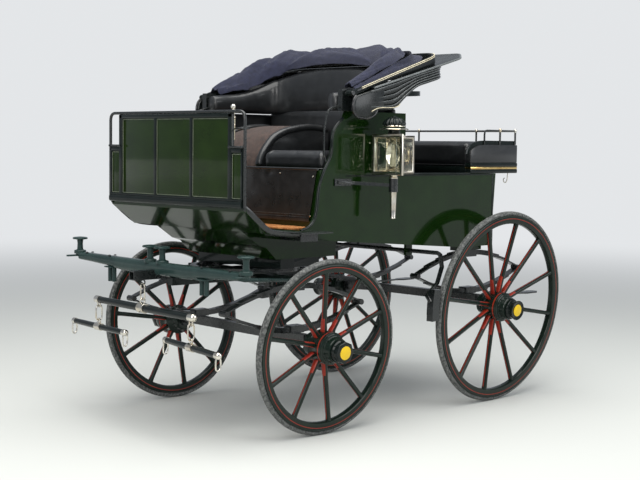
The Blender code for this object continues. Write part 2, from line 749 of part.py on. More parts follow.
bed_low = UPPER_RING_TOP + GAP
bed_top = BOOT_BOTTOM - GAP
bed = block((-TOP_BED_HALF, -TOP_BED_DEPTH / 2, bed_low), (TOP_BED_HALF, TOP_BED_DEPTH / 2, bed_top))
kingpin = turned([(BOLSTER_LOW - GAP - 0.020, 0), (BOLSTER_LOW - GAP - 0.020, KINGPIN_NUT),
                  (BOLSTER_LOW - GAP, KINGPIN_NUT), (BOLSTER_LOW - GAP, KINGPIN_RADIUS),
                  (bed_low + 0.010, KINGPIN_RADIUS), (bed_low + 0.010, 0)], 16, "Z")
wings = []
for side in SIDES.values():
    wings.append(block((side * (TOP_BED_HALF - 0.070) - 0.022, 0.0, bed_low), (side * (TOP_BED_HALF - 0.070) + 0.022, BOOT_REAR_Y - 0.060, bed_top)))
piece("top_bed", union(bed, kingpin, *wings), BLACK, carriage)


# Splinter bar, with four roller bolts, hanging posts, end lugs and stays

def bar_section(height):
    half = BAR_DEPTH / 2
    bevel = 0.014
    return [(-half, -height + bevel), (-half + bevel, -height), (half - bevel, -height), (half, -height + bevel),
            (half, -bevel), (half - bevel, 0), (-half + bevel, 0), (-half, -bevel)]


def roller_bolt(x):
    return shifted(turned([(BAR_TOP - 0.010, 0), (BAR_TOP - 0.010, 0.034), (BAR_TOP + 0.008, 0.034),
                           (BAR_TOP + 0.010, ROLLER_STEM), (BAR_TOP + ROLLER_HEIGHT - 0.012, ROLLER_STEM),
                           (BAR_TOP + ROLLER_HEIGHT - 0.010, ROLLER_CAP), (BAR_TOP + ROLLER_HEIGHT - 0.004, ROLLER_CAP),
                           (BAR_TOP + ROLLER_HEIGHT, ROLLER_CAP * 0.6), (BAR_TOP + ROLLER_HEIGHT, 0)], 8, "Z"),
                   x, BAR_Y)


bar_low = BOLSTER_TOP + GAP
stations = [(-BAR_HALF, BAR_END_HEIGHT), (-0.430, 0.055), (-0.200, BAR_TOP - bar_low), (0.200, BAR_TOP - bar_low),
            (0.430, 0.055), (BAR_HALF, BAR_END_HEIGHT)]
bar = swept([(x, BAR_Y, BAR_TOP) for x, _ in stations], [bar_section(height) for _, height in stations])
bar_parts = []
for side in SIDES.values():
    bar_parts.append(roller_bolt(side * ROLLER_X))
    bar_parts.append(roller_bolt(side * ROLLER_CENTRE_X))
    lug = slab([(side * (BAR_HALF - 0.020), BAR_Y - 0.022), (side * (ROLLER_X + 0.012), BAR_Y - 0.022),
                (side * (ROLLER_X + 0.014), BAR_Y + 0.022), (side * (BAR_HALF - 0.020), BAR_Y + 0.022)],
               BAR_TOP - 0.026, BAR_TOP - 0.004, "Z")
    tongue = slab([(side * (ROLLER_X - 0.014), BAR_Y), (side * (ROLLER_X + 0.014), BAR_Y),
                   (side * (ROLLER_X + 0.014), BAR_Y - 0.075), (side * ROLLER_X, BAR_Y - 0.088),
                   (side * (ROLLER_X - 0.014), BAR_Y - 0.075)], BAR_TOP - 0.026, BAR_TOP - 0.014, "Z")
    bar_parts.extend([lug, tongue])
    for offset in (-0.020, 0.020):
        bar_parts.append(shifted(cylinder(BAR_TOP - 0.140, BAR_TOP - 0.040, 0.012, 8, "Z"),
                                 side * POST_X + offset, BAR_Y))
    stay_path = [(side * (BAR_HALF - 0.035), BAR_Y + 0.005, BAR_TOP - 0.034),
                 (side * (BAR_HALF - 0.060), BAR_Y + 0.060, BAR_TOP - 0.045),
                 (side * (BOLSTER_HALF - 0.012), -BOLSTER_DEPTH / 2 - 0.030, BOLSTER_LOW + 0.020),
                 (side * (BOLSTER_HALF - 0.012), -BOLSTER_DEPTH / 2 - GAP, BOLSTER_LOW + 0.020)]
    bar_parts.append(swept(filleted(stay_path, 0.03, 2), flat_section(0.022, 0.014, 0.003)))
notch = block((-SOCKET_HALF - GAP, SOCKET_FRONT, SOCKET_LOW - 0.01),
              (SOCKET_HALF + GAP, SOCKET_REAR, SOCKET_LOW + 2 * SOCKET_HALF + GAP))
piece("splinter_bar", cut(union(bar, *bar_parts), notch), BLACK, fore_carriage)

socket_high = SOCKET_LOW + 2 * SOCKET_HALF
socket = block((-SOCKET_HALF, SOCKET_FRONT, SOCKET_LOW), (SOCKET_HALF, SOCKET_REAR, socket_high))
socket_bore = block((-SOCKET_HALF + SOCKET_WALL, SOCKET_FRONT - 0.01, SOCKET_LOW + SOCKET_WALL),
                    (SOCKET_HALF - SOCKET_WALL, SOCKET_REAR - 0.03, socket_high - SOCKET_WALL))
socket_eye_z = SOCKET_LOW - EYE_RADIUS - 0.001
socket_eye = torus((0, MAIN_TREE_Y, socket_eye_z), EYE_RADIUS, EYE_WIRE, "YZ")
piece("pole_socket", union(cut(socket, socket_bore), socket_eye), BLACK, fore_carriage)


# Swingletrees. Each hangs from a link, and turns about its own middle.

def wire_link(top_wire, bottom_wire, tilt_plane="XZ"):
    # An oval link whose two end wires lie at the given heights.
    rise = LINK_HALF * 0.85
    half = [(LINK_HALF, bottom_wire + rise), (LINK_HALF, top_wire - rise), (LINK_HALF * 0.7, top_wire - rise * 0.15),
            (0, top_wire), (-LINK_HALF * 0.7, top_wire - rise * 0.15), (-LINK_HALF, top_wire - rise),
            (-LINK_HALF, bottom_wire + rise), (-LINK_HALF * 0.7, bottom_wire + rise * 0.15), (0, bottom_wire),
            (LINK_HALF * 0.7, bottom_wire + rise * 0.15)]
    if tilt_plane == "XZ":
        return swept([(a, 0, z) for a, z in half], round_section(LINK_WIRE, 6), up=(0, 1, 0), closed=True)
    return swept([(0, a, z) for a, z in half], round_section(LINK_WIRE, 6), up=(1, 0, 0), closed=True)


def bar_of_tree(half, radius, band, cap_length):
    taper = radius * 0.86
    wood = turned([(-half, 0), (-half, taper), (-half * 0.3, radius), (half * 0.3, radius), (half, taper), (half, 0)], 8)
    collar = turned([(-0.030, 0), (-0.030, band), (0.030, band), (0.030, 0)], 10)
    caps = []
    for end in (-1, 1):
        cap = turned([(end * (half - cap_length), 0), (end * (half - cap_length), taper + 0.003),
                      (end * half, taper + 0.003), (end * (half + 0.004), taper * 0.6), (end * (half + 0.004), 0)], 10)
        caps.append(cap)
    return union(wood, collar, *caps)


HOOK_WIRE = EYE_RADIUS * 0.95 - EYE_WIRE - LINK_WIRE - GAP
link_top = socket_eye_z - HOOK_WIRE
main_eye_z = MAIN_BAND_RADIUS + 0.010
link_bottom = MAIN_TREE_Z + main_eye_z + HOOK_WIRE
main_link_anchor = empty("main_link_pivot", fore_carriage, (0, MAIN_TREE_Y, link_top))
piece("main_link", shifted(wire_link(link_top, link_bottom), z=-link_top), NICKEL, main_link_anchor)

main_anchor = empty("main_tree_pivot", main_link_anchor, (0, 0, MAIN_TREE_Z - link_top), (0, 0, MAIN_TREE_YAW))
main_bar = bar_of_tree(MAIN_TREE_HALF, MAIN_TREE_RADIUS, MAIN_BAND_RADIUS, 0.045)
main_eye = torus((0, 0, main_eye_z), EYE_RADIUS, EYE_WIRE, "YZ")
hanger_z = -MAIN_TREE_RADIUS - 0.007
hangers = [torus((end * HANGER_X, 0, hanger_z), EYE_RADIUS, EYE_WIRE, "XZ") for end in (-1, 1)]
piece("main_swingletree", union(main_bar, main_eye, *hangers), BLACK, main_anchor)

small_link_top = hanger_z - HOOK_WIRE - TREE_SEAT * 0.6
small_eye_z = SMALL_BAND_RADIUS + 0.010
small_link_bottom = SMALL_TREE_Z - MAIN_TREE_Z + small_eye_z + HOOK_WIRE + TREE_SEAT
for side_name, side in SIDES.items():
    yaw = LEFT_TREE_YAW if side == LEFT else RIGHT_TREE_YAW
    link_anchor = empty("link_pivot_" + side_name, main_anchor, (side * HANGER_X, 0, small_link_top))
    link = shifted(wire_link(small_link_top, small_link_bottom, "YZ"), z=-small_link_top)
    piece("swingletree_link_" + side_name, link, NICKEL, link_anchor)
    tree_anchor = empty("tree_pivot_" + side_name, link_anchor,
                        (0, 0, SMALL_TREE_Z - MAIN_TREE_Z - small_link_top), (0, 0, yaw))
    tree = bar_of_tree(SMALL_TREE_HALF, SMALL_TREE_RADIUS, SMALL_BAND_RADIUS, 0.034)
    eye = torus((0, 0, small_eye_z), EYE_RADIUS, EYE_WIRE, "XZ")
    hooks = []
    for end in (-1, 1):
        x = end * (SMALL_TREE_HALF - 0.012)
        drop = SMALL_TREE_RADIUS + TRACE_HOOK_DROP
        loop = [(x, 0.012, -SMALL_TREE_RADIUS * 0.5), (x, 0.013, -drop + 0.016), (x, 0.006, -drop + 0.004),
                (x, -0.006, -drop + 0.004), (x, -0.013, -drop + 0.016), (x, -0.012, -SMALL_TREE_RADIUS * 0.5)]
        hooks.append(swept(loop, round_section(0.0042, 6), up=(1, 0, 0)))
    piece("swingletree_" + side_name, union(tree, eye, *hooks), BLACK, tree_anchor)


# Body: sides, floor, seat riser, seat board, back board and tail board in one framed box

def sill_line(y):
    if y <= SILL_FRONT_Y:
        front = FLOOR_Z - FLOOR_THICKNESS
        share = (y - FOOT_REAR_Y) / (SILL_FRONT_Y - FOOT_REAR_Y)
        return front + (SILL_FRONT_Z - front) * max(0.0, share)
    share = min(1.0, (y - SILL_FRONT_Y) / (SILL_REAR_Y - SILL_FRONT_Y))
    return SILL_FRONT_Z + (SILL_REAR_Z - SILL_FRONT_Z) * share


BODY_OUTLINE = [(FOOT_REAR_Y, sill_line(FOOT_REAR_Y)), (SILL_FRONT_Y, SILL_FRONT_Z), (SILL_REAR_Y, SILL_REAR_Z),
                (BODY_REAR_Y, SILL_REAR_Z), (BODY_REAR_Y, 1.100), (BODY_REAR_Y + 0.018, BELT_Z),
                (SEAT_BACK_Y + 0.024, BELT_Z), (SEAT_BACK_Y + 0.020, SEAT_SIDE_TOP), (0.215, SEAT_SIDE_TOP),
                (0.198, 1.628), (0.125, 1.554), (0.113, 1.440), (0.060, 1.347), (0.028, 1.267), (0.008, 1.130),
                (-0.030, 1.072), (FOOT_REAR_Y, FLOOR_Z)]

body_sides = [slab(BODY_OUTLINE, side * BODY_HALF, side * (BODY_HALF - BODY_WALL), "X") for side in SIDES.values()]
inside = BODY_HALF - BODY_WALL / 2
floor_rise = 0.032
floor_outline = [(FOOT_REAR_Y, sill_line(FOOT_REAR_Y)), (SILL_FRONT_Y, SILL_FRONT_Z), (SILL_REAR_Y, SILL_REAR_Z),
                 (BODY_REAR_Y - 0.004, SILL_REAR_Z), (BODY_REAR_Y - 0.004, SILL_REAR_Z + floor_rise),
                 (SILL_REAR_Y, SILL_REAR_Z + floor_rise), (SEAT_FRONT_Y + 0.020, SILL_FRONT_Z + floor_rise),
                 (SEAT_FRONT_Y, FLOOR_Z), (FOOT_REAR_Y, FLOOR_Z)]
body_floor = slab(floor_outline, -inside, inside, "X")
tail_board = slab([(BODY_REAR_Y - BODY_WALL, SILL_REAR_Z + 0.010), (BODY_REAR_Y - 0.002, SILL_REAR_Z + 0.010),
                   (BODY_REAR_Y - 0.002, 1.100), (BODY_REAR_Y + 0.016, BELT_Z), (BODY_REAR_Y - BODY_WALL, BELT_Z)],
                  -inside, inside, "X")
riser = block((-inside, SEAT_FRONT_Y, FLOOR_Z - FLOOR_THICKNESS / 2),
              (inside, SEAT_FRONT_Y + BODY_WALL, SEAT_BOARD_TOP - 0.002))
seat_board = block((-inside, SEAT_FRONT_Y, SEAT_BOARD_TOP - SEAT_BOARD_THICKNESS),
                   (inside, SEAT_BACK_Y + 0.010, SEAT_BOARD_TOP))
back_board = block((-inside, SEAT_BACK_Y, BELT_Z - 0.060), (inside, SEAT_BACK_Y + 0.018, SEAT_SIDE_TOP - 0.002))
brake_hangers = []
hanger_top = sill_line(BRAKE_Y) + 0.010
for side in SIDES.values():
    plate = block((side * HANGER_BRAKE_X - 0.008, BRAKE_Y - 0.026, BRAKE_Z - 0.026),
                  (side * HANGER_BRAKE_X + 0.008, BRAKE_Y + 0.026, hanger_top))
    hole = shifted(cylinder(-0.02, 0.02, over_flat(BRAKE_SHAFT + GAP, 12), 12), side * HANGER_BRAKE_X, BRAKE_Y, BRAKE_Z)
    brake_hangers.append(cut(plate, hole))
spring_blocks = []
for side in SIDES.values():
    spring_blocks.append(block((side * REAR_SPRING_X - 0.030, WHEELBASE - 0.130, REAR_SPRING_TOP + GAP),
                               (side * REAR_SPRING_X + 0.030, WHEELBASE + 0.085, SILL_REAR_Z + 0.010)))
piece("body_box", union(body_sides[0], body_sides[1], body_floor, tail_board, riser, seat_board, back_board,
                        *brake_hangers, *spring_blocks), GREEN, carriage)


# Footboard, boot and mat

def footboard_under(y):
    if y <= FOOT_KNEE_Y:
        share = (y - FOOT_FRONT_Y) / (FOOT_KNEE_Y - FOOT_FRONT_Y)
        top = FOOT_FRONT_Z + (FOOT_KNEE_Z - FOOT_FRONT_Z) * share
    else:
        share = (y - FOOT_KNEE_Y) / (FOOT_REAR_Y - FOOT_KNEE_Y)
        top = FOOT_KNEE_Z + (FLOOR_Z - FOOT_KNEE_Z) * share
    return top - FOOTBOARD_THICKNESS


foot_rear = FOOT_REAR_Y - GAP
footboard = slab([(FOOT_FRONT_Y, FOOT_FRONT_Z), (FOOT_KNEE_Y, FOOT_KNEE_Z), (foot_rear, FLOOR_Z),
                  (foot_rear, footboard_under(FOOT_REAR_Y)), (FOOT_KNEE_Y, footboard_under(FOOT_KNEE_Y)),
                  (FOOT_FRONT_Y, footboard_under(FOOT_FRONT_Y))], -FOOTBOARD_HALF, FOOTBOARD_HALF, "X")
piece("footboard", footboard, GREEN, carriage)

boot = slab([(FOOT_KNEE_Y, footboard_under(FOOT_KNEE_Y) - GAP),
             (FOOT_REAR_Y, sill_line(FOOT_REAR_Y) - GAP), (SILL_FRONT_Y, SILL_FRONT_Z - GAP),
             (BOOT_REAR_Y, sill_line(BOOT_REAR_Y) - GAP), (BOOT_REAR_Y, BOOT_BOTTOM), (-0.100, BOOT_BOTTOM),
             (-0.170, BOOT_BOTTOM + 0.065), (-0.225, BOOT_BOTTOM + 0.081)], -BOOT_HALF, BOOT_HALF, "X")
piece("boot", boot, GREEN, carriage)

mat = slab([(FOOT_KNEE_Y + 0.010, FOOT_KNEE_Z + 0.002), (FOOT_REAR_Y, FLOOR_Z + GAP), (SEAT_FRONT_Y - 0.004, FLOOR_Z + GAP),
            (SEAT_FRONT_Y - 0.004, FLOOR_Z + GAP + MAT_THICKNESS),
            (FOOT_REAR_Y, FLOOR_Z + GAP + MAT_THICKNESS), (FOOT_KNEE_Y + 0.010, FOOT_KNEE_Z + MAT_THICKNESS)],
           -BODY_HALF + 0.060, BODY_HALF - 0.060, "X")
piece("floor_mat", mat, COIR, carriage)

for side_name, side in SIDES.items():
    near = side * (FOOTBOARD_HALF + GAP)
    far = side * STEP_PLATE_X
    tread = slab([(near, -0.190), (far - side * 0.015, -0.190), (far, -0.175), (far, 0.020), (far - side * 0.020, 0.040),
                  (near, 0.040)], STEP_PLATE_Z, STEP_PLATE_Z + 0.006, "Z")
    flange = block((min(near, near + side * 0.008), -0.120, STEP_PLATE_Z - 0.046), (max(near, near + side * 0.008), 0.000, STEP_PLATE_Z + 0.003))
    strut = swept([(near + side * 0.004, -0.060, STEP_PLATE_Z - 0.040),
                   (side * (BOOT_HALF + GAP), -0.060, STEP_PLATE_Z - 0.040)],
                  flat_section(0.030, 0.012))
    piece("step_plate_" + side_name, union(tread, flange, strut), BLACK, carriage)


# Dash board with beaded panels, and the rail round its edge

dash_back = DASH_Y + DASH_THICKNESS
wing_half = DASH_RAIL_HALF - DASH_RAIL_RADIUS - GAP
board_top = DASH_RAIL_TOP - 2 * DASH_RAIL_RADIUS - GAP
board_bottom = DASH_BOTTOM
board = slab([(-wing_half, board_bottom), (wing_half, board_bottom), (wing_half, DASH_WING_TOP),
              (DASH_CENTRE_HALF, DASH_WING_TOP), (DASH_CENTRE_HALF, board_top), (-DASH_CENTRE_HALF, board_top),
              (-DASH_CENTRE_HALF, DASH_WING_TOP), (-wing_half, DASH_WING_TOP)],
             DASH_Y + DASH_BEAD_DEPTH, dash_back - GAP, "Y")
beads = []
for x in (-DASH_CENTRE_HALF, -DASH_DIVIDER_X, DASH_DIVIDER_X, DASH_CENTRE_HALF):
    inward = 0 if abs(x) < 0.2 else (-DASH_BEAD / 2 if x > 0 else DASH_BEAD / 2)
    beads.append(block((x + inward - DASH_BEAD / 2, DASH_Y, board_bottom + 0.012),
                       (x + inward + DASH_BEAD / 2, DASH_Y + DASH_BEAD_DEPTH + 0.004, board_top)))
beads.append(block((-DASH_CENTRE_HALF, DASH_Y, board_top - DASH_BEAD),
                   (DASH_CENTRE_HALF, DASH_Y + DASH_BEAD_DEPTH + 0.004, board_top)))
for side in SIDES.values():
    beads.append(block((min(side * DASH_CENTRE_HALF, side * wing_half), DASH_Y, DASH_WING_TOP - DASH_BEAD),
                       (max(side * DASH_CENTRE_HALF, side * wing_half), DASH_Y + DASH_BEAD_DEPTH + 0.004, DASH_WING_TOP)))
    beads.append(block((min(side * (wing_half - DASH_BEAD), side * wing_half), DASH_Y, board_bottom + 0.012),
                       (max(side * (wing_half - DASH_BEAD), side * wing_half), DASH_Y + DASH_BEAD_DEPTH + 0.004, DASH_WING_TOP)))
foot_moulding = slab([(DASH_Y - 0.004, board_bottom - 0.010), (DASH_Y + DASH_THICKNESS * 0.6, board_bottom - 0.010),
                      (DASH_Y + DASH_THICKNESS * 0.6, board_bottom + 0.034), (DASH_Y, board_bottom + 0.034),
                      (DASH_Y - 0.006, board_bottom + 0.018)], -wing_half, wing_half, "X")
piece("dash_board", union(board, *beads, foot_moulding), GREEN, carriage)

rail_y = DASH_Y + DASH_THICKNESS / 2
rail_x = DASH_RAIL_HALF
rail_z = DASH_RAIL_TOP - DASH_RAIL_RADIUS
dash_rail = swept(filleted([(-rail_x, rail_y, DASH_BOTTOM), (-rail_x, rail_y, rail_z), (rail_x, rail_y, rail_z),
                            (rail_x, rail_y, DASH_BOTTOM)], DASH_RAIL_CORNER), round_section(DASH_RAIL_RADIUS, 8),
                  up=(0, 1, 0))
whip = turned([(WHIP_LOW, 0), (WHIP_LOW, 0.008), (WHIP_LOW + 0.010, 0.011), (WHIP_TOP - 0.060, 0.013),
               (WHIP_TOP - 0.052, 0.009), (WHIP_TOP - 0.020, 0.009), (WHIP_TOP - 0.014, 0.013),
               (WHIP_TOP - 0.005, 0.010), (WHIP_TOP, 0)], 10, "Z")
whip_clip = swept([(0, 0, WHIP_LOW + 0.060), (rail_x - WHIP_X, 0, WHIP_LOW + 0.060),
                   (rail_x - WHIP_X, rail_y - WHIP_Y, WHIP_LOW + 0.060)], flat_section(0.006, 0.016))
piece("dash_rail", union(dash_rail, shifted(union(whip, whip_clip), WHIP_X, WHIP_Y)), BLACK, carriage)

# Driving seat: leather fall, cushions and the padded back

fall_y = SEAT_FRONT_Y - GAP
fall_outline = [(-FALL_BOTTOM_HALF, FALL_BOTTOM), (FALL_BOTTOM_HALF, FALL_BOTTOM), (FALL_TOP_HALF, SEAT_BOARD_TOP + 0.008),
                (-FALL_TOP_HALF, SEAT_BOARD_TOP + 0.008)]
piece("seat_fall", slab(fall_outline, fall_y - FALL_THICKNESS, fall_y, "Y"), LEATHER, carriage)


def cushion(low, high, crown, draw, cells=6):
    # A box cushion: crowned top, sides drawn in between the welts, rounded corners.
    shape = bmesh.new()
    bmesh.ops.create_cube(shape, size=2.0)
    bmesh.ops.subdivide_edges(shape, edges=shape.edges, cuts=cells - 1, use_grid_fill=True)
    middle = (Vector(low) + Vector(high)) / 2
    half = (Vector(high) - Vector(low)) / 2
    for corner in shape.verts:
        u, v, w = corner.co
        pull = draw * (1 - w * w)
        rounding = 1 - 0.035 * (u * u) * (v * v)
        x = u * (half.x - pull) * rounding
        y = v * (half.y - pull) * rounding
        dome = (1 - u ** 4) * (1 - v ** 4)
        z = w * half.z
        if w > 0.9:
            z = half.z - crown * (1 - dome)
        corner.co = middle + Vector((x, y, z))
    return outward(shape)


piece("passenger_cushion", cushion((PASSENGER_X0, CUSHION_Y0, SEAT_LEVEL), (PASSENGER_X1, CUSHION_Y1, PASSENGER_TOP + 0.015),
                                   0.022, 0.006), LEATHER, carriage)

WEDGE_SIDE = [(0.080, 1.380), (0.100, 1.415), (0.145, 1.478), (0.190, 1.527), (0.255, 1.556), (0.330, 1.573),
              (0.480, 1.588), (0.600, 1.566)]
WEDGE_ROLL = 0.028


def wedge_section(x_share):
    # Two rolls stand a little above the cloth between them.
    edge = abs(2 * x_share - 1)
    if edge > 0.93:
        return -0.016 * (edge - 0.93) / 0.07
    if edge > 0.80:
        return 0.006
    return -0.004


def wedge_shape():
    shares = [0.0, 0.035, 0.08, 0.12, 0.3, 0.5, 0.7, 0.88, 0.92, 0.965, 1.0]
    shape = bmesh.new()
    columns = []
    for share in shares:
        x = DRIVER_X0 + share * (DRIVER_X1 - DRIVER_X0)
        tops = [shape.verts.new((x, y, z + wedge_section(share))) for y, z in WEDGE_SIDE]
        low_back = shape.verts.new((x, WEDGE_SIDE[-1][0], SEAT_LEVEL))
        low_front = shape.verts.new((x, WEDGE_SIDE[0][0], SEAT_LEVEL))
        columns.append([low_front] + tops + [low_back])
    for first, second in zip(columns, columns[1:]):
        for corner in range(len(first)):
            nearby = (corner + 1) % len(first)
            shape.faces.new((first[corner], first[nearby], second[nearby], second[corner]))
    shape.faces.new(columns[0][::-1])
    shape.faces.new(columns[-1])
    return outward(shape)


piece("driver_cushion", wedge_shape(), BROWN_CLOTH, carriage)

BACK_HALF_PATH = [(BACK_ARM_X, 0.165, 1.765), (BACK_ARM_X + 0.004, 0.270, 1.775), (BACK_ARM_X, 0.385, 1.789),
                  (BACK_ARM_X - 0.006, 0.492, 1.818), (0.452, 0.590, 1.860), (0.360, 0.650, 1.895),
                  (0.200, 0.672, 1.925)]
back_path = BACK_HALF_PATH + [(0.0, 0.678, 1.932)] + [(-x, y, z) for x, y, z in BACK_HALF_PATH[::-1]]
back_sections = []
for x, y, top in back_path:
    middle = (BACK_ROLL_LOW + top) / 2
    back_sections.append(oval_section(BACK_ROLL_THICKNESS / 2, (top - BACK_ROLL_LOW) / 2 / math.cos(math.pi / 12), 12,
                                      (0, middle)))
back_roll = swept([(x, y, 0) for x, y, _ in back_path], back_sections)
lining_x = BODY_HALF - BODY_WALL - GAP
lining_y = SEAT_BACK_Y - GAP
lining_low = SEAT_BOARD_TOP + 0.150
lining_inner = 0.045
lining_path = [(-lining_x, 0.220), (-lining_x, lining_y), (lining_x, lining_y), (lining_x, 0.220)]
lining_outline = lining_path + [(lining_x - 0.016, 0.220), (lining_x - 0.030, lining_y - 0.100), (lining_x - 0.110, lining_y - lining_inner),
                                (-lining_x + 0.110, lining_y - lining_inner), (-lining_x + 0.030, lining_y - 0.100),
                                (-lining_x + 0.016, 0.220)]
back_lining = slab(lining_outline, lining_low + 0.090, BACK_ROLL_LOW + 0.030, "Z")
piece("seat_back", union(back_roll, back_lining), LEATHER, carriage)


# Hood irons: a plate on each side with the hood's pivot pin and the grab rail

for side_name, side in SIDES.items():
    plate_low = min(side * (BRACKET_X - 0.012), side * (BRACKET_X + 0.022))
    plate_high = max(side * (BRACKET_X - 0.012), side * (BRACKET_X + 0.022))
    plate = block((plate_low, HOOD_PIVOT_Y - 0.030, SEAT_SIDE_TOP + GAP), (plate_high, HOOD_PIVOT_Y + 0.045, HOOD_PIVOT_Z + 0.022))
    head = BOW_HALF[0] + BOW_THICKNESS * 0.58 + RUN
    pin = shifted(turned([(BRACKET_X, 0), (BRACKET_X, HOOD_PIN_RADIUS), (head, HOOD_PIN_RADIUS),
                          (head, HOOD_PIN_RADIUS + 0.005), (HOOD_PIN_END, HOOD_PIN_RADIUS + 0.004),
                          (HOOD_PIN_END, 0)], 12), 0, HOOD_PIVOT_Y, HOOD_PIVOT_Z)
    pin = pin if side == LEFT else mirrored(pin)
    rail_x_side = side * (BODY_HALF - 0.012)
    rail = swept(filleted([(rail_x_side, HOOD_PIVOT_Y, SEAT_SIDE_TOP + 0.030), (rail_x_side, 0.090, 1.672),
                           (rail_x_side, 0.066, 1.560), (rail_x_side, 0.066, 1.440), (rail_x_side, 0.080, 1.400)],
                          0.05, 2), round_section(0.006, 6), up=(1, 0, 0))
    piece("hood_bracket_" + side_name, union(plate, pin, rail), BLACK, carriage)


# Hood: three bows on the pivot pins, the front flap, and the folded leather and lining

def bow_outline(half, reach, corner):
    # The middle line of a hoop: from the pivot back, across behind the seat, and forward again.
    start = (HOOD_PIN_RADIUS + BOW_EYE) / 2
    line = [(-half, start, 0), (-half, reach, 0), (half, reach, 0), (half, start, 0)]
    return filleted(line, corner, 4)


def bow_shape(half, reach):
    hoop = swept(bow_outline(half, reach, BOW_CORNER), flat_section(BOW_THICKNESS, BOW_WIDTH))
    thick = BOW_THICKNESS * 0.58
    bore = over_flat(HOOD_PIN_RADIUS + RUN, 12)
    eyes = []
    for side in SIDES.values():
        eye = turned([(-thick, bore), (-thick, BOW_EYE), (thick, BOW_EYE), (thick, bore)], 12, ring=True)
        eyes.append(shifted(eye, side * half))
    return union(hoop, *eyes)


bow_names = ("front", "middle", "rear")
bow_anchors = {}
for number, bow_name in enumerate(bow_names):
    anchor = empty("bow_pivot_" + bow_name, carriage, (0, HOOD_PIVOT_Y, HOOD_PIVOT_Z), (BOW_FOLD[number], 0, 0))
    bow_anchors[bow_name] = anchor
    piece("hood_bow_" + bow_name, bow_shape(BOW_HALF[number], BOW_REACH[number]), BLACK, anchor)

flap_arm = BOW_HALF[0] + BOW_THICKNESS / 2 + GAP
flap_outer = filleted([(-FLAP_HALF + 0.004, 0.140, 0), (-FLAP_HALF, 0.500, 0), (-FLAP_HALF, 0.860, 0), (-FLAP_HALF + 0.115, FLAP_REACH, 0),
                       (FLAP_HALF - 0.115, FLAP_REACH, 0), (FLAP_HALF, 0.860, 0), (FLAP_HALF, 0.500, 0), (FLAP_HALF - 0.004, 0.140, 0)], 0.10, 3)
flap_well = FLAP_HALF - 0.075
flap_inner = [(flap_arm, 0.140, 0), (flap_arm, 0.400, 0), (flap_well, 0.430, 0), (flap_well, 0.640, 0),
              (flap_well - 0.070, 0.710, 0), (0.070 - flap_well, 0.710, 0), (-flap_well, 0.640, 0),
              (-flap_well, 0.430, 0), (-flap_arm, 0.400, 0), (-flap_arm, 0.140, 0)]
flap = slab([(x, y) for x, y, _ in flap_outer + flap_inner], -FLAP_THICKNESS, 0, "Z")
flap = moved(flap, Matrix.Rotation(FLAP_FOLD - BOW_FOLD[0], 4, "X"))
piece("hood_flap", flap, HOOD_LEATHER, bow_anchors["front"])

# Each station of the folded leather: x, y, low edge, half width, and how far it has turned to the back
FOLD_SIDE = BODY_HALF + 0.088
FOLD_HALF = [(FOLD_SIDE, 0.240, 1.668, 0.016, 0.0), (FOLD_SIDE, 0.400, 1.665, 0.016, 0.0),
             (FOLD_SIDE, 0.480, 1.672, 0.016, 0.0), (FOLD_SIDE, 0.560, 1.728, 0.016, 0.0),
             (FOLD_SIDE, 0.650, 1.782, 0.016, 0.0), (FOLD_SIDE - 0.002, 0.750, 1.806, 0.018, 0.3),
             (FOLD_SIDE - 0.024, 0.850, 1.826, 0.022, 0.7), (FOLD_SIDE - 0.080, 0.918, 1.842, 0.026, 1.0),
             (FOLD_SIDE - 0.190, 0.946, 1.852, 0.030, 1.0), (0.0, 0.952, 1.856, 0.032, 1.0)]


def under_flap(y):
    # The flap lies on the folded leather.
    return HOOD_PIVOT_Z + (y - HOOD_PIVOT_Y) * math.tan(FLAP_FOLD) - FLAP_THICKNESS / math.cos(FLAP_FOLD) - GAP


def fold_section(low, high, half):
    # Three stacked pleats, seen end on.
    step = (high - low) / 6
    outer = [(half * (1.0 if number % 2 else 0.60), low + number * step) for number in range(7)]
    inner = [(-half * (1.0 if number % 2 else 0.60), low + number * step) for number in range(7)]
    return outer + inner[::-1]


fold_line = FOLD_HALF + [(-x, y, low, half, turned_back) for x, y, low, half, turned_back in FOLD_HALF[-2::-1]]
fold_sections = []
for x, y, low, half, turned_back in fold_line:
    fold_sections.append(fold_section(low, under_flap(y - turned_back * half), half))
piece("hood_folds", swept([(x, y, 0) for x, y, _, _, _ in fold_line], fold_sections), HOOD_LEATHER, carriage)

DRAPE_HALF_PATH = [(BODY_HALF - 0.015, 0.300, 1.816), (BODY_HALF - 0.016, 0.420, 1.854),
                   (BODY_HALF - 0.030, 0.540, 1.904), (BODY_HALF - 0.080, 0.640, 1.949),
                   (BODY_HALF - 0.170, 0.695, 1.979), (0.200, 0.712, 1.994)]
drape_path = DRAPE_HALF_PATH + [(0.0, 0.716, 1.997)] + [(-x, y, z) for x, y, z in DRAPE_HALF_PATH[::-1]]


def drape_section(number):
    # A soft bundle whose outline wavers with the folds.
    points = []
    for step in range(14):
        turn = math.tau * step / 14
        wave = 1 + 0.13 * math.sin(3 * turn + number * 1.7) + 0.08 * math.sin(5 * turn - number * 2.3)
        points.append((0.034 * wave * math.cos(turn), 0.048 * wave * math.sin(turn)))
    return points


piece("hood_lining", swept(drape_path, [drape_section(number) for number in range(len(drape_path))]), NAVY, carriage)


# Lamps, standing in sockets on arms from the body side

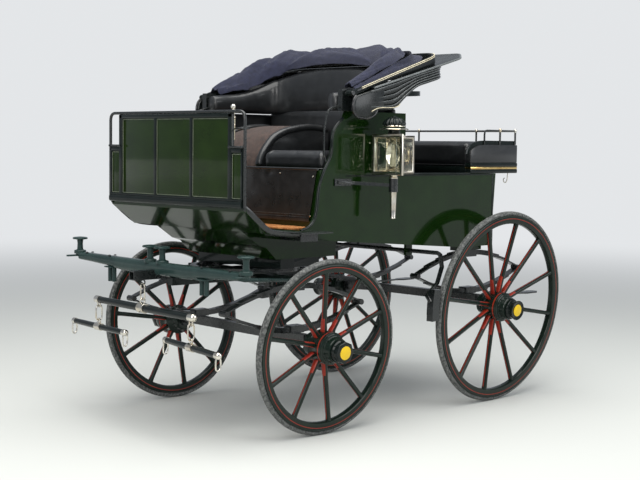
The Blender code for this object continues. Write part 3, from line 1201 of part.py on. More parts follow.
def lamp_shape():
    half = LAMP_WIDTH / 2
    depth = LAMP_DEPTH
    front = -LAMP_DEPTH / 2 - 0.0
    case = block((-half + 0.012, front + 0.010, LAMP_LOW + 0.010), (half - 0.012, front + depth, LAMP_HIGH - 0.010))
    bezel = block((-half, front, LAMP_LOW), (half, front + 0.014, LAMP_HIGH))
    glass_recess = block((-half + LAMP_FRAME, front - 0.010, LAMP_LOW + LAMP_FRAME),
                         (half - LAMP_FRAME, front + 0.030, LAMP_HIGH - LAMP_FRAME))
    case_half = half - 0.012
    side_recesses = []
    for end in SIDES.values():
        outer_x = end * (case_half + 0.010)
        inner_x = end * (case_half - 0.006)
        side_recesses.append(block((min(outer_x, inner_x), front + 0.036, LAMP_LOW + 0.010 + LAMP_FRAME),
                                   (max(outer_x, inner_x), front + depth - 0.012, LAMP_HIGH - 0.010 - LAMP_FRAME)))
    crown = turned([(LAMP_HIGH - 0.012, 0), (LAMP_HIGH - 0.012, 0.030), (LAMP_HIGH + 0.022, 0.030),
                    (LAMP_HIGH + 0.026, LAMP_CROWN_RADIUS), (LAMP_HIGH + 0.034, LAMP_CROWN_RADIUS),
                    (LAMP_HIGH + 0.040, LAMP_CROWN_RADIUS * 0.86), (LAMP_HIGH + 0.048, LAMP_CROWN_RADIUS * 0.86),
                    (LAMP_HIGH + 0.070, LAMP_CROWN_RADIUS * 0.60), (LAMP_CROWN_TOP, LAMP_CROWN_RADIUS * 0.30),
                    (LAMP_CROWN_TOP, 0)], 12, "Z")
    tail = turned([(LAMP_TAIL_LOW, 0), (LAMP_TAIL_LOW, LAMP_TAIL * 0.80), (LAMP_SOCKET_LOW, LAMP_TAIL),
                   (LAMP_SOCKET_HIGH + GAP, LAMP_TAIL), (LAMP_SOCKET_HIGH + GAP, LAMP_SOCKET),
                   (LAMP_LOW + 0.012, LAMP_SOCKET), (LAMP_LOW + 0.012, 0)], 16, "Z")
    return union(cut(union(case, bezel), glass_recess, *side_recesses), crown, tail)


lamp_mesh = clean_mesh("lamp", lamp_shape())
for side_name, side in SIDES.items():
    lamp_anchor = empty("lamp_lift_" + side_name, carriage, (side * LAMP_X, LAMP_Y, 0))
    piece_of_mesh("lamp_" + side_name, lamp_mesh, NICKEL, lamp_anchor)
    socket_tube = turned([(LAMP_SOCKET_LOW, over_flat(LAMP_TAIL + RUN, 16)), (LAMP_SOCKET_LOW, LAMP_SOCKET),
                          (LAMP_SOCKET_HIGH, LAMP_SOCKET), (LAMP_SOCKET_HIGH, over_flat(LAMP_TAIL + RUN, 16))],
                         16, "Z", ring=True)
    socket_tube = shifted(socket_tube, side * LAMP_X, LAMP_Y)
    socket_z = (LAMP_SOCKET_LOW + LAMP_SOCKET_HIGH) / 2
    bend = Vector((side * (BODY_HALF + 0.010), LAMP_ARM_Y + 0.120, LAMP_ARM_Z - 0.005))
    tube_axis = Vector((side * LAMP_X, LAMP_Y, socket_z))
    arm_end = tube_axis + (bend - tube_axis).normalized() * (LAMP_SOCKET - 0.001)
    arm = swept([(side * (BODY_HALF + 0.008), LAMP_ARM_Y, LAMP_ARM_Z), bend, arm_end], flat_section(0.013, 0.018))
    pad = block((min(side * (BODY_HALF + GAP), side * (BODY_HALF + 0.008)), LAMP_ARM_Y - 0.020, LAMP_ARM_Z - 0.018),
                (max(side * (BODY_HALF + GAP), side * (BODY_HALF + 0.008)), LAMP_ARM_Y + 0.100, LAMP_ARM_Z + 0.018))
    piece("lamp_bracket_" + side_name, union(socket_tube, arm, pad), BLACK, carriage)


# Grooms' seat over the tail of the body

arm_outline = [(REAR_SEAT_FRONT, BELT_Z + GAP), (REAR_SEAT_REAR, BELT_Z + GAP), (REAR_SEAT_REAR, REAR_ARM_TOP),
               (REAR_SEAT_FRONT + 0.120, REAR_ARM_TOP), (REAR_SEAT_FRONT + 0.075, REAR_ARM_TOP - 0.008),
               (REAR_SEAT_FRONT + 0.030, REAR_ARM_TOP - 0.028), (REAR_SEAT_FRONT, REAR_ARM_TOP - 0.050)]
rear_arms = [slab(arm_outline, side * BODY_HALF, side * (BODY_HALF - REAR_ARM_WIDTH), "X") for side in SIDES.values()]
rear_base = block((-BODY_HALF + 0.010, REAR_SEAT_FRONT + 0.004, BELT_Z + GAP),
                  (BODY_HALF - 0.010, REAR_SEAT_REAR - 0.004, BELT_Z + REAR_BASE_THICKNESS))
rear_board = block((-BODY_HALF + 0.010, REAR_SEAT_REAR - 0.024, BELT_Z + 0.010),
                   (BODY_HALF - 0.010, REAR_SEAT_REAR - 0.004, REAR_ARM_TOP - 0.004))
piece("rear_seat_frame", union(rear_base, rear_board, *rear_arms), GREEN, carriage)

rear_cushion_half = BODY_HALF - REAR_ARM_WIDTH - 0.006
piece("rear_cushion", cushion((-rear_cushion_half, REAR_CUSHION_FRONT, BELT_Z + REAR_BASE_THICKNESS + GAP),
                              (rear_cushion_half, REAR_CUSHION_REAR, REAR_CUSHION_TOP + 0.010), 0.026, 0.006),
      LEATHER, carriage)

rail_low = REAR_ARM_TOP + GAP
rail_side = BODY_HALF - 0.014
rail_front = REAR_SEAT_FRONT + 0.140
rail_rear = REAR_SEAT_REAR - 0.010
rail_loop = filleted([(rail_side, rail_front, rail_low), (rail_side, rail_front, REAR_RAIL_Z), (rail_side, rail_rear, REAR_RAIL_Z),
                      (-rail_side, rail_rear, REAR_RAIL_Z), (-rail_side, rail_front, REAR_RAIL_Z),
                      (-rail_side, rail_front, rail_low)], 0.025, 3)
posts = []
for side in SIDES.values():
    for x, y in ((side * rail_side, (rail_front + rail_rear) / 2), (side * rail_side, rail_rear), (side * 0.236, rail_rear)):
        posts.append(shifted(cylinder(rail_low, REAR_RAIL_Z, REAR_RAIL_RADIUS, 6, "Z"), x, y))
rail_round = round_section(REAR_RAIL_RADIUS, 6)


def rail_shape():
    # The loop runs in two planes, so it is built from its side runs and its back run.
    shapes = []
    for side in SIDES.values():
        run = filleted([(side * rail_side, rail_front, rail_low), (side * rail_side, rail_front, REAR_RAIL_Z),
                        (side * rail_side, rail_rear, REAR_RAIL_Z)], 0.025, 3)
        shapes.append(swept(run, rail_round, up=(1, 0, 0)))
    back = swept([(-rail_side, rail_rear, REAR_RAIL_Z), (rail_side, rail_rear, REAR_RAIL_Z)], rail_round)
    return union(back, *shapes, *posts)


piece("rear_rail", rail_shape(), BLACK, carriage)


# Brake: a cross shaft under the body, a curved arm at each end, and a block before each rear tyre

brake_anchor = empty("brake_pivot", carriage, (0, BRAKE_Y, BRAKE_Z))
BRAKE_ARM = [(0.000, 0.000), (0.021, -0.012), (0.037, -0.079), (0.000, -0.167), (-0.088, -0.231)]
BRAKE_FOOT = [(-0.100, -0.262), (-0.055, -0.273)]
block_inner = REAR_RADIUS + BRAKE_GAP
block_outer = block_inner + BLOCK_THICKNESS
hub_y = WHEELBASE - BRAKE_Y
hub_z = REAR_HUB_Z - BRAKE_Z


def block_shape(side):
    outline = []
    angles = [math.radians(180 - 13 + 4 * step) for step in range(5)]
    for angle in angles:
        outline.append((hub_y + block_inner * math.cos(angle), hub_z + block_inner * math.sin(angle)))
    for angle in angles[::-1]:
        outline.append((hub_y + block_outer * math.cos(angle), hub_z + block_outer * math.sin(angle)))
    return slab(outline, side * BRAKE_BLOCK_X - BLOCK_WIDTH / 2, side * BRAKE_BLOCK_X + BLOCK_WIDTH / 2, "X")


brake_parts = []
for side in SIDES.values():
    path = [(side * BRAKE_ARM_X, y, z) for y, z in BRAKE_ARM]
    path.extend([(side * BRAKE_BLOCK_X, y, z) for y, z in BRAKE_FOOT])
    brake_parts.append(swept(path, flat_section(0.014, BRAKE_ARM_WIDTH), up=(0.96, 0.0, 0.28)))
    brake_parts.append(block_shape(side))
shaft = cylinder(-BRAKE_ARM_X, BRAKE_ARM_X, BRAKE_SHAFT, 12)
piece("brake_shaft", union(shaft, *brake_parts), BLACK, brake_anchor)

bpy.context.view_layer.update()
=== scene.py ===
# %% [markdown]
# # Demi mail phaeton
# This notebook dresses the carriage. The solids in the frame have the real sizes and joints.
# Here each one gets its finish, and the soft pieces get their folds, seams and stitches.

import math

import bmesh
import bpy
from mathutils import Matrix, Vector, noise
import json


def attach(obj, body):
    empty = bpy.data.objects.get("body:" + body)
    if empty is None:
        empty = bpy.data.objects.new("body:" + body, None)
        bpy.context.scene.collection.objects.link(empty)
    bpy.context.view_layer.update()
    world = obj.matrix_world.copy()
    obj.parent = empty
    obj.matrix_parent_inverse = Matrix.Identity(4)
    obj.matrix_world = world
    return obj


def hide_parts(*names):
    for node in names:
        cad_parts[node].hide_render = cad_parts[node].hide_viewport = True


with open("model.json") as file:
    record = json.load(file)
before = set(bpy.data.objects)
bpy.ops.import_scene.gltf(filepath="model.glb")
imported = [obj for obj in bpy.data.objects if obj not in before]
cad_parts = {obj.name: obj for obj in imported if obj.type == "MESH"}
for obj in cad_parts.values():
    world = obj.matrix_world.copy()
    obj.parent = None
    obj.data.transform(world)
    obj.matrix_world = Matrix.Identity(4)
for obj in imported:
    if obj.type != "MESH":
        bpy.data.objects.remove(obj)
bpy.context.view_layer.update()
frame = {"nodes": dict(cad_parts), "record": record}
body_of_node = {}
for body_name, node_names in frame["record"]["behaviour"]["bodies"].items():
    for node_name in node_names:
        body_of_node[node_name] = body_name
print("solids in the frame:", len(body_of_node))

# %% [markdown]
# ## Camera
# The camera's place and lens were worked out from the four wheels, the body and the dash in the photograph.
# It stands low and about 7.5 m away, which is why the carriage shows little perspective.

# %% Camera
IMAGE_WIDTH = 640.0
FOCAL_LENGTH_IN_PIXELS = 1304.326
SENSOR_WIDTH = 36.0
camera_data = bpy.data.cameras.new("camera")
camera_data.sensor_width = SENSOR_WIDTH
camera_data.lens = FOCAL_LENGTH_IN_PIXELS * SENSOR_WIDTH / IMAGE_WIDTH
camera = bpy.data.objects.new("camera", camera_data)
bpy.context.scene.collection.objects.link(camera)
CAMERA_PLACE = (5.36923574, -5.26215657, 1.4812293)
CAMERA_YAW = 0.796607814
CAMERA_PITCH = 0.0720792938
CAMERA_ROLL = 0.0118573914
turn = Matrix.Rotation(CAMERA_YAW, 4, "Z")
turn = turn @ Matrix.Rotation(math.pi / 2 - CAMERA_PITCH, 4, "X")
turn = turn @ Matrix.Rotation(CAMERA_ROLL, 4, "Z")
camera.matrix_world = Matrix.Translation(CAMERA_PLACE) @ turn
bpy.context.scene.camera = camera
bpy.context.scene.view_settings.view_transform = "Standard"
print("focal length in mm:", round(camera_data.lens, 1))

# %% [markdown]
# ## Floor and light
# Gloss paint shows what stands round it, so the light is a pale sky and three large soft lamps. The floor is
# one pale plane that fades into the backdrop far behind the carriage, so that no horizon cuts the picture.

# %% Floor and light
PALE_SKY = (0.86, 0.88, 0.9, 1.0)


def add_node(owner, kind, **settings):
    node = owner.node_tree.nodes.new(kind)
    for key, value in settings.items():
        setattr(node, key, value)
    return node


def wire(owner, output, socket):
    owner.node_tree.links.new(output, socket)


def dial(node, **values):
    # Sets a node's own sockets; Coat_Weight stands for the one called Coat Weight.
    for socket, value in values.items():
        node.inputs[socket.replace("_", " ")].default_value = value


floor_shape = bmesh.new()
bmesh.ops.create_grid(floor_shape, x_segments=1, y_segments=1, size=60.0)
floor_mesh = bpy.data.meshes.new("floor")
floor_shape.to_mesh(floor_mesh)
floor_shape.free()
floor = bpy.data.objects.new("floor", floor_mesh)
bpy.context.scene.collection.objects.link(floor)
floor_finish = bpy.data.materials.new("pale_floor")
floor_finish.use_nodes = True
floor_mesh.materials.append(floor_finish)
floor_nodes = floor_finish.node_tree.nodes
floor_shader = floor_nodes["Principled BSDF"]
dial(floor_shader, Base_Color=(0.62, 0.63, 0.6, 1.0), Roughness=0.9)
place_on_floor = add_node(floor_finish, "ShaderNodeTexCoord")
far_off = add_node(floor_finish, "ShaderNodeVectorMath", operation="LENGTH")
wire(floor_finish, place_on_floor.outputs["Object"], far_off.inputs[0])
fade = add_node(floor_finish, "ShaderNodeMapRange", interpolation_type="SMOOTHSTEP")
dial(fade, From_Min=3.0, From_Max=14.0)
wire(floor_finish, far_off.outputs["Value"], fade.inputs["Value"])
haze = add_node(floor_finish, "ShaderNodeEmission")
dial(haze, Color=PALE_SKY, Strength=0.9)
sweep = add_node(floor_finish, "ShaderNodeMixShader")
for number, output in enumerate((fade.outputs["Result"], floor_shader.outputs[0], haze.outputs[0])):
    wire(floor_finish, output, sweep.inputs[number])
wire(floor_finish, sweep.outputs[0], floor_nodes["Material Output"].inputs["Surface"])

world = bpy.data.worlds.new("studio")
bpy.context.scene.world = world
world.use_nodes = True
sky = world.node_tree.nodes["Background"]
dial(sky, Color=(0.8, 0.86, 0.95, 1.0), Strength=0.42)
backdrop = add_node(world, "ShaderNodeBackground")
dial(backdrop, Color=PALE_SKY, Strength=0.9)
ray = add_node(world, "ShaderNodeLightPath")
seen = add_node(world, "ShaderNodeMath", operation="MAXIMUM")
wire(world, ray.outputs["Is Camera Ray"], seen.inputs[0])
wire(world, ray.outputs["Is Transmission Ray"], seen.inputs[1])
choose = add_node(world, "ShaderNodeMixShader")
for number, output in enumerate((seen.outputs[0], sky.outputs[0], backdrop.outputs[0])):
    wire(world, output, choose.inputs[number])
wire(world, choose.outputs[0], world.node_tree.nodes["World Output"].inputs["Surface"])


def soft_lamp(name, place, aim, size, power, colour):
    lamp_data = bpy.data.lights.new(name, "AREA")
    lamp_data.shape = "RECTANGLE"
    lamp_data.size = size[0]
    lamp_data.size_y = size[1]
    lamp_data.energy = power
    lamp_data.color = colour
    lamp = bpy.data.objects.new(name, lamp_data)
    bpy.context.scene.collection.objects.link(lamp)
    direction = Vector(aim) - Vector(place)
    lamp.rotation_euler = direction.to_track_quat("-Z", "Y").to_euler()
    lamp.location = place


soft_lamp("overhead", (0.8, -1.0, 6.0), (0, 0, 0.8), (6.0, 7.0), 520, (1.0, 0.99, 0.96))
soft_lamp("front", (3.2, -6.0, 3.4), (0, -0.2, 1.0), (4.0, 3.0), 160, (1.0, 0.98, 0.95))
soft_lamp("side", (6.0, 2.5, 3.0), (0, 0.3, 1.0), (4.0, 3.0), 120, (0.96, 0.98, 1.0))

# %% [markdown]
# ## Finishes
# Coach paint is a dark colour under many coats of clear varnish. One Principled shader gives that: a dark
# base, and a coat with almost no roughness. A little noise in the bump keeps a panel from looking like
# plastic, because a hand-rubbed panel is never quite flat. Iron has a thicker, duller paint, and nickel and
# brass are bare metal whose roughness and tarnish change from place to place.

# %% Paint, metal and rubber
def new_finish(name, colour, roughness, metallic=0.0):
    finish = bpy.data.materials.new(name)
    finish.use_nodes = True
    shader = finish.node_tree.nodes["Principled BSDF"]
    dial(shader, Base_Color=(*colour, 1.0), Roughness=roughness, Metallic=metallic)
    return finish, shader


def on_object(finish, pattern):
    # The pattern lies in the piece's own space, so it moves with the piece.
    place = add_node(finish, "ShaderNodeTexCoord")
    wire(finish, place.outputs["Object"], pattern.inputs["Vector"])
    return pattern


def object_noise(finish, scale, detail):
    pattern = add_node(finish, "ShaderNodeTexNoise")
    dial(pattern, Scale=scale, Detail=detail)
    return on_object(finish, pattern)


def add_bump(finish, shader, height, strength, distance):
    bump = add_node(finish, "ShaderNodeBump")
    dial(bump, Strength=strength, Distance=distance)
    wire(finish, height, bump.inputs["Height"])
    wire(finish, bump.outputs["Normal"], shader.inputs["Normal"])
    return bump


def vary_roughness(finish, shader, pattern, low, high):
    spread = add_node(finish, "ShaderNodeMapRange")
    dial(spread, From_Min=0.35, From_Max=0.65, To_Min=low, To_Max=high)
    wire(finish, pattern, spread.inputs["Value"])
    wire(finish, spread.outputs["Result"], shader.inputs["Roughness"])


def vary_colour(finish, shader, pattern, first, second, low=0.35, high=0.65):
    ramp = add_node(finish, "ShaderNodeValToRGB")
    ramp.color_ramp.elements[0].position = low
    ramp.color_ramp.elements[0].color = (*first, 1.0)
    ramp.color_ramp.elements[1].position = high
    ramp.color_ramp.elements[1].color = (*second, 1.0)
    wire(finish, pattern, ramp.inputs["Fac"])
    wire(finish, ramp.outputs["Color"], shader.inputs["Base Color"])


def coach_paint(name, colour, second, roughness=0.16):
    finish, shader = new_finish(name, colour, roughness)
    dial(shader, Specular_IOR_Level=0.14, Coat_Weight=0.26, Coat_Roughness=0.04)
    flow = object_noise(finish, 9.0, 3.0)
    vary_colour(finish, shader, flow.outputs["Fac"], colour, second)
    grain = object_noise(finish, 260.0, 2.0)
    vary_roughness(finish, shader, grain.outputs["Fac"], roughness * 0.8, roughness * 1.3)
    add_bump(finish, shader, flow.outputs["Fac"], 0.12, 0.004)
    return finish


PANEL_GREEN = coach_paint("panel_green", (0.004, 0.015, 0.002), (0.006, 0.02, 0.003), 0.1)
DASH_GREEN = coach_paint("dash_green", (0.008, 0.019, 0.002), (0.011, 0.025, 0.003), 0.1)
CARRIAGE_BLACK = coach_paint("carriage_black", (0.004, 0.007, 0.006), (0.007, 0.011, 0.01), 0.16)
WHEEL_GREEN = coach_paint("wheel_green", (0.006, 0.012, 0.009), (0.009, 0.017, 0.012), 0.16)
BAR_GREEN = coach_paint("bar_green", (0.016, 0.034, 0.032), (0.024, 0.046, 0.042), 0.22)
LINE_RED = coach_paint("line_red", (0.26, 0.02, 0.012), (0.32, 0.032, 0.014), 0.3)
DISC_YELLOW = coach_paint("disc_yellow", (0.72, 0.47, 0.01), (0.78, 0.52, 0.02), 0.3)


def iron_paint(name, colour):
    finish, shader = new_finish(name, colour, 0.32)
    dial(shader, Coat_Weight=0.35, Coat_Roughness=0.12)
    lumps = object_noise(finish, 60.0, 5.0)
    add_bump(finish, shader, lumps.outputs["Fac"], 0.18, 0.002)
    vary_roughness(finish, shader, lumps.outputs["Fac"], 0.22, 0.42)
    return finish


BLACK_IRON = iron_paint("black_iron", (0.005, 0.007, 0.007))


def plated(name, colour, roughness):
    finish, shader = new_finish(name, colour, roughness, 1.0)
    smears = object_noise(finish, 35.0, 6.0)
    vary_roughness(finish, shader, smears.outputs["Fac"], roughness * 0.6, roughness * 1.6)
    tarnish = object_noise(finish, 12.0, 6.0)
    warm = (colour[0] * 0.8, colour[1] * 0.72, colour[2] * 0.6)
    vary_colour(finish, shader, tarnish.outputs["Fac"], warm, colour, 0.3, 0.6)
    add_bump(finish, shader, smears.outputs["Fac"], 0.08, 0.001)
    return finish


NICKEL = plated("nickel", (0.74, 0.71, 0.64), 0.16)
BRASS = plated("brass", (0.8, 0.58, 0.24), 0.18)
# The dash beads are painted pale: a painted highlight, standing for the light along their rounded gloss edges.
PALE_BEAD_HIGHLIGHT = iron_paint("bead_painted_highlight", (0.16, 0.18, 0.13))
IVORY = iron_paint("ivory", (0.62, 0.56, 0.4))


def window_glass():
    finish, shader = new_finish("lamp_glass", (0.95, 0.98, 0.94), 0.02)
    dial(shader, Transmission_Weight=1.0, IOR=1.5)
    return finish


LAMP_GLASS = window_glass()


def tyre_rubber():
    finish, shader = new_finish("tyre_rubber", (0.1, 0.105, 0.1), 0.8)
    specks = object_noise(finish, 90.0, 8.0)
    vary_colour(finish, shader, specks.outputs["Fac"], (0.045, 0.048, 0.047), (0.2, 0.205, 0.195), 0.4, 0.72)
    scuffs = object_noise(finish, 30.0, 6.0)
    add_bump(finish, shader, scuffs.outputs["Fac"], 0.35, 0.003)
    return finish


RUBBER = tyre_rubber()
print("paint, metal and rubber are mixed")

# %% [markdown]
# Leather has a fine pebbled grain, which a Voronoi pattern gives at about 1 mm, and cloth has a weave or a
# cord, which two crossed waves give. Coir is a mat of coarse fibres that point every way.

# %% Leather and cloth
def leather(name, colour, roughness, grain_size=900.0, coat=0.0):
    finish, shader = new_finish(name, colour, roughness)
    dial(shader, Coat_Weight=coat, Specular_IOR_Level=0.36, Coat_Roughness=0.15)
    cells = on_object(finish, add_node(finish, "ShaderNodeTexVoronoi"))
    dial(cells, Scale=grain_size)
    creases = object_noise(finish, 22.0, 8.0)
    both = add_node(finish, "ShaderNodeMath", operation="MULTIPLY_ADD")
    both.inputs[1].default_value = 0.25
    wire(finish, cells.outputs["Distance"], both.inputs[0])
    wire(finish, creases.outputs["Fac"], both.inputs[2])
    add_bump(finish, shader, both.outputs[0], 0.3, 0.0011)
    vary_roughness(finish, shader, creases.outputs["Fac"], roughness * 0.88, roughness * 1.12)
    worn = tuple(min(1.0, channel * 1.5 + 0.002) for channel in colour)
    vary_colour(finish, shader, creases.outputs["Fac"], colour, worn, 0.45, 0.85)
    return finish


SEAT_LEATHER = leather("seat_leather", (0.011, 0.012, 0.013), 0.38, 900.0, 0.4)
GLOSS_LEATHER = leather("gloss_leather", (0.006, 0.006, 0.007), 0.2, 500.0, 0.5)
HOOD_LEATHER = leather("hood_leather", (0.006, 0.008, 0.008), 0.27, 500.0, 0.15)


def woven(name, colour, second, cord_scale, depth):
    finish, shader = new_finish(name, colour, 0.92)
    dial(shader, Sheen_Weight=0.1, Sheen_Roughness=0.5)
    cross = add_node(finish, "ShaderNodeMath", operation="ADD")
    for number, direction in enumerate("XY"):
        wave = on_object(finish, add_node(finish, "ShaderNodeTexWave", bands_direction=direction))
        dial(wave, Scale=cord_scale, Distortion=0.6)
        wire(finish, wave.outputs["Fac"], cross.inputs[number])
    add_bump(finish, shader, cross.outputs[0], 0.5, depth)
    fluff = object_noise(finish, 40.0, 8.0)
    vary_colour(finish, shader, fluff.outputs["Fac"], colour, second, 0.3, 0.7)
    return finish


NAVY_CLOTH = woven("navy_cloth", (0.007, 0.009, 0.026), (0.015, 0.018, 0.046), 260.0, 0.0006)
BROWN_CLOTH = woven("brown_cloth", (0.03, 0.018, 0.014), (0.07, 0.04, 0.03), 130.0, 0.0012)


def coir():
    finish, shader = new_finish("coir", (0.5, 0.2, 0.05), 0.95)
    fibres = object_noise(finish, 420.0, 6.0)
    tufts = object_noise(finish, 60.0, 8.0)
    vary_colour(finish, shader, tufts.outputs["Fac"], (0.3, 0.09, 0.02), (0.62, 0.27, 0.08))
    add_bump(finish, shader, fibres.outputs["Fac"], 1.0, 0.004)
    return finish


COIR = coir()
CREAM_PIPING = leather("cream_piping", (0.62, 0.56, 0.4), 0.5, 700.0)
FALL_LEATHER = leather("fall_leather", (0.016, 0.016, 0.016), 0.3, 420.0, 0.35)
STITCH = leather("stitch", (0.1, 0.1, 0.1), 0.6)
# Pale leather for rolled edges: a painted highlight on black gloss leather, not its own colour.
LEATHER_EDGE_HIGHLIGHT = leather("leather_edge_painted_highlight", (0.1, 0.11, 0.11), 0.22, 700.0, 0.5)
print("leather and cloth are mixed")

# %% [markdown]
# ## Shapes
# Almost everything on a carriage is turned on a lathe, bent from bar, or sawn from board. So four tools
# make nearly all of it: a profile spun about an axle, a section carried along a path, an outline given a
# thickness, and a block with rounded edges. A path is rounded first, because iron is bent, not folded.

# %% Shapes
# Shapes are drawn with the front axle at y = 0. CARRIAGE moves them to the frame's own middle, and FORE turns
# the fore-carriage as well, by the angle at which it stands in the photograph.
AXLE_Y = -0.5826
FORE_TURN = math.radians(-3.0)
CARRIAGE = Matrix.Translation((0, AXLE_Y, 0))
FORE = CARRIAGE @ Matrix.Rotation(FORE_TURN, 4, "Z")
SIDES = (1, -1)
SAME_POINT = 2e-6


def joint_place(joint_name):
    # x runs along the joint's axis, and z stands as upright as it can.
    for joint in frame["record"]["behaviour"]["joints"]:
        if joint["name"] == joint_name:
            along = Vector(joint["axis"]).normalized()
            up = (Vector((0, 0, 1)) - along * along.z).normalized()
            place = Matrix((along, up.cross(along), up)).transposed().to_4x4()
            place.translation = Vector(joint["pos_m"])
            return place


def tidy(shape):
    bmesh.ops.remove_doubles(shape, verts=shape.verts, dist=SAME_POINT)
    bmesh.ops.recalc_face_normals(shape, faces=shape.faces)
    return shape


def turned(profile, steps=48, ring=False):
    # Pairs of (along x, radius), spun about x.
    shape = bmesh.new()
    corners = [shape.verts.new((along, 0, radius)) for along, radius in profile]
    pairs = list(zip(corners, corners[1:]))
    if ring:
        pairs.append((corners[-1], corners[0]))
    edges = [shape.edges.new(pair) for pair in pairs]
    bmesh.ops.spin(shape, geom=corners + edges, cent=(0, 0, 0), axis=(1, 0, 0), angle=math.tau,
                   steps=steps, use_merge=True)
    return tidy(shape)


def lofted(stations, sides=16, power=2.0, closed=False):
    # Each station is a centre, a half width and a half height; a power over 2 squares the section.
    count = len(stations)
    rows = count if closed else count - 1
    shape = bmesh.new()
    bmesh.ops.create_grid(shape, x_segments=sides, y_segments=rows, size=1.0)
    for corner in shape.verts:
        turn = math.tau * round((corner.co.x + 1) / 2 * sides) / sides
        centre, across, lift = map(Vector, stations[round((corner.co.y + 1) / 2 * rows) % count])
        wide = math.cos(turn)
        high = math.sin(turn)
        wide = math.copysign(abs(wide) ** (2 / power), wide)
        high = math.copysign(abs(high) ** (2 / power), high)
        corner.co = centre + across * wide + lift * high
    bmesh.ops.remove_doubles(shape, verts=shape.verts, dist=SAME_POINT)
    if not closed:
        rims = [edge for edge in shape.edges if edge.is_boundary]
        bmesh.ops.holes_fill(shape, edges=rims, sides=0)
    return tidy(shape)


def tube(path, radius, sides=10, closed=False, flat=1.0, power=2.0, up=(0, 0, 1)):
    # One radius, or one for each point. flat is the height over the width.
    points = [Vector(point) for point in path]
    lift = Vector(up)
    stations = []
    for number, point in enumerate(points):
        before = points[number - 1] if closed or number > 0 else point
        after = points[(number + 1) % len(points)] if closed or number < len(points) - 1 else point
        along = (after - before).normalized()
        across = along.cross(lift).normalized()
        lift = across.cross(along)
        here = radius[number] if isinstance(radius, (list, tuple)) else radius
        stations.append((point, across * here, lift * here * flat))
    return lofted(stations, sides, power, closed)


def rounded(path, radius, steps=5, closed=False):
    points = [Vector(point) for point in path]
    triples = list(zip(points, points[1:], points[2:]))
    if closed:
        triples = [(points[number - 1], points[number], points[(number + 1) % len(points)])
                   for number in range(len(points))]
    bent = [] if closed else [points[0]]
    for before, corner, after in triples:
        back = (before - corner).normalized()
        ahead = (after - corner).normalized()
        reach = radius / math.tan(max(0.05, back.angle(ahead)) / 2)
        reach = min(reach, (before - corner).length * 0.49, (after - corner).length * 0.49)
        start = corner + back * reach
        end = corner + ahead * reach
        for step in range(steps + 1):
            share = step / steps
            bent.append(start.lerp(corner, share).lerp(corner.lerp(end, share), share))
    if not closed:
        bent.append(points[-1])
    return bent


def flowing(points, steps=6):
    # A smooth line through all its points.
    points = [Vector(point) for point in points]
    padded = [points[0]] + points + [points[-1]]
    line = []
    for a, b, c, d in zip(padded, padded[1:], padded[2:], padded[3:]):
        for step in range(steps):
            t = step / steps
            line.append(0.5 * (2 * b + (c - a) * t + (2 * a - 5 * b + 4 * c - d) * t * t
                               + (3 * b - a - 3 * c + d) * t * t * t))
    return line + [points[-1]]


def mirrored(half, middle=()):
    # One side's points, the middle ones, and the same points on the other side in turn.
    return half + list(middle) + [(-x, *rest) for x, *rest in half[::-1]]


def beside(run, number):
    # The points before and after one point of an open run.
    return run[max(0, number - 1)], run[min(len(run) - 1, number + 1)]


def tapered(number, count, least, steps):
    # 1 along the run, and less over the last steps at both ends.
    return min(1.0, least + number / steps, least + (count - 1 - number) / steps)


def soften(shape, width, segments=2, angle=30.0):
    edges = [edge for edge in shape.edges
             if len(edge.link_faces) == 2 and edge.calc_face_angle() > math.radians(angle)]
    bmesh.ops.bevel(shape, geom=edges, offset=width, segments=segments, profile=0.5, affect="EDGES",
                    material=-1, clamp_overlap=True)
    return shape


def block(low, high, width=0.0015, segments=2):
    shape = bmesh.new()
    bmesh.ops.create_cube(shape, size=1.0)
    low = Vector(low)
    high = Vector(high)
    bmesh.ops.scale(shape, vec=high - low, verts=shape.verts)
    bmesh.ops.translate(shape, vec=(low + high) / 2, verts=shape.verts)
    return soften(shape, width, segments) if width else shape


def board(outline, low, high, axis, width=0.0015, segments=2):
    # An outline drawn across the axis, and its thickness along it.
    order = {"X": (2, 0, 1), "Y": (0, 2, 1), "Z": (0, 1, 2)}[axis]
    shape = bmesh.new()
    corners = []
    for spot in outline:
        flat = (*spot, low)
        corners.append(shape.verts.new([flat[order[0]], flat[order[1]], flat[order[2]]]))
    face = shape.faces.new(corners)
    grown = bmesh.ops.extrude_face_region(shape, geom=[face])
    far = [item for item in grown["geom"] if isinstance(item, bmesh.types.BMVert)]
    rise = (0, 0, high - low)
    bmesh.ops.translate(shape, vec=(rise[order[0]], rise[order[1]], rise[order[2]]), verts=far)
    tidy(shape)
    return soften(shape, width, segments) if width else shape


def moved(shape, *matrices):
    for matrix in matrices:
        shape.transform(matrix)
    return shape


def at(x=0.0, y=0.0, z=0.0):
    return Matrix.Translation((x, y, z))


def upright(shape):
    # What was turned about x now stands on z.
    return moved(shape, Matrix.Rotation(-math.pi / 2, 4, "Y"))


def joined(*shapes):
    whole = shapes[0]
    for extra in shapes[1:]:
        carrier = bpy.data.meshes.new("carrier")
        extra.to_mesh(carrier)
        extra.free()
        whole.from_mesh(carrier)
        bpy.data.meshes.remove(carrier)
    return whole


def tint(shape, slot, test=None):
    # Gives faces the finish of that slot; test reads a face's middle and its normal.
    for face in shape.faces:
        if test is None or test(face.calc_center_median(), face.normal):
            face.material_index = slot
    return shape


def bolt_head(size, height=None, sides=6):
    # A washer, a six-sided nut and the rounded end of the bolt, standing on z = 0.
    height = height or size * 0.9
    profile = [(0, 0), (0, size * 1.25), (size * 0.18, size * 1.25), (size * 0.22, size),
               (height * 0.92, size), (height, size * 0.88), (height, size * 0.5),
               (height * 1.25, size * 0.38), (height * 1.32, 0)]
    return upright(turned(profile, sides))


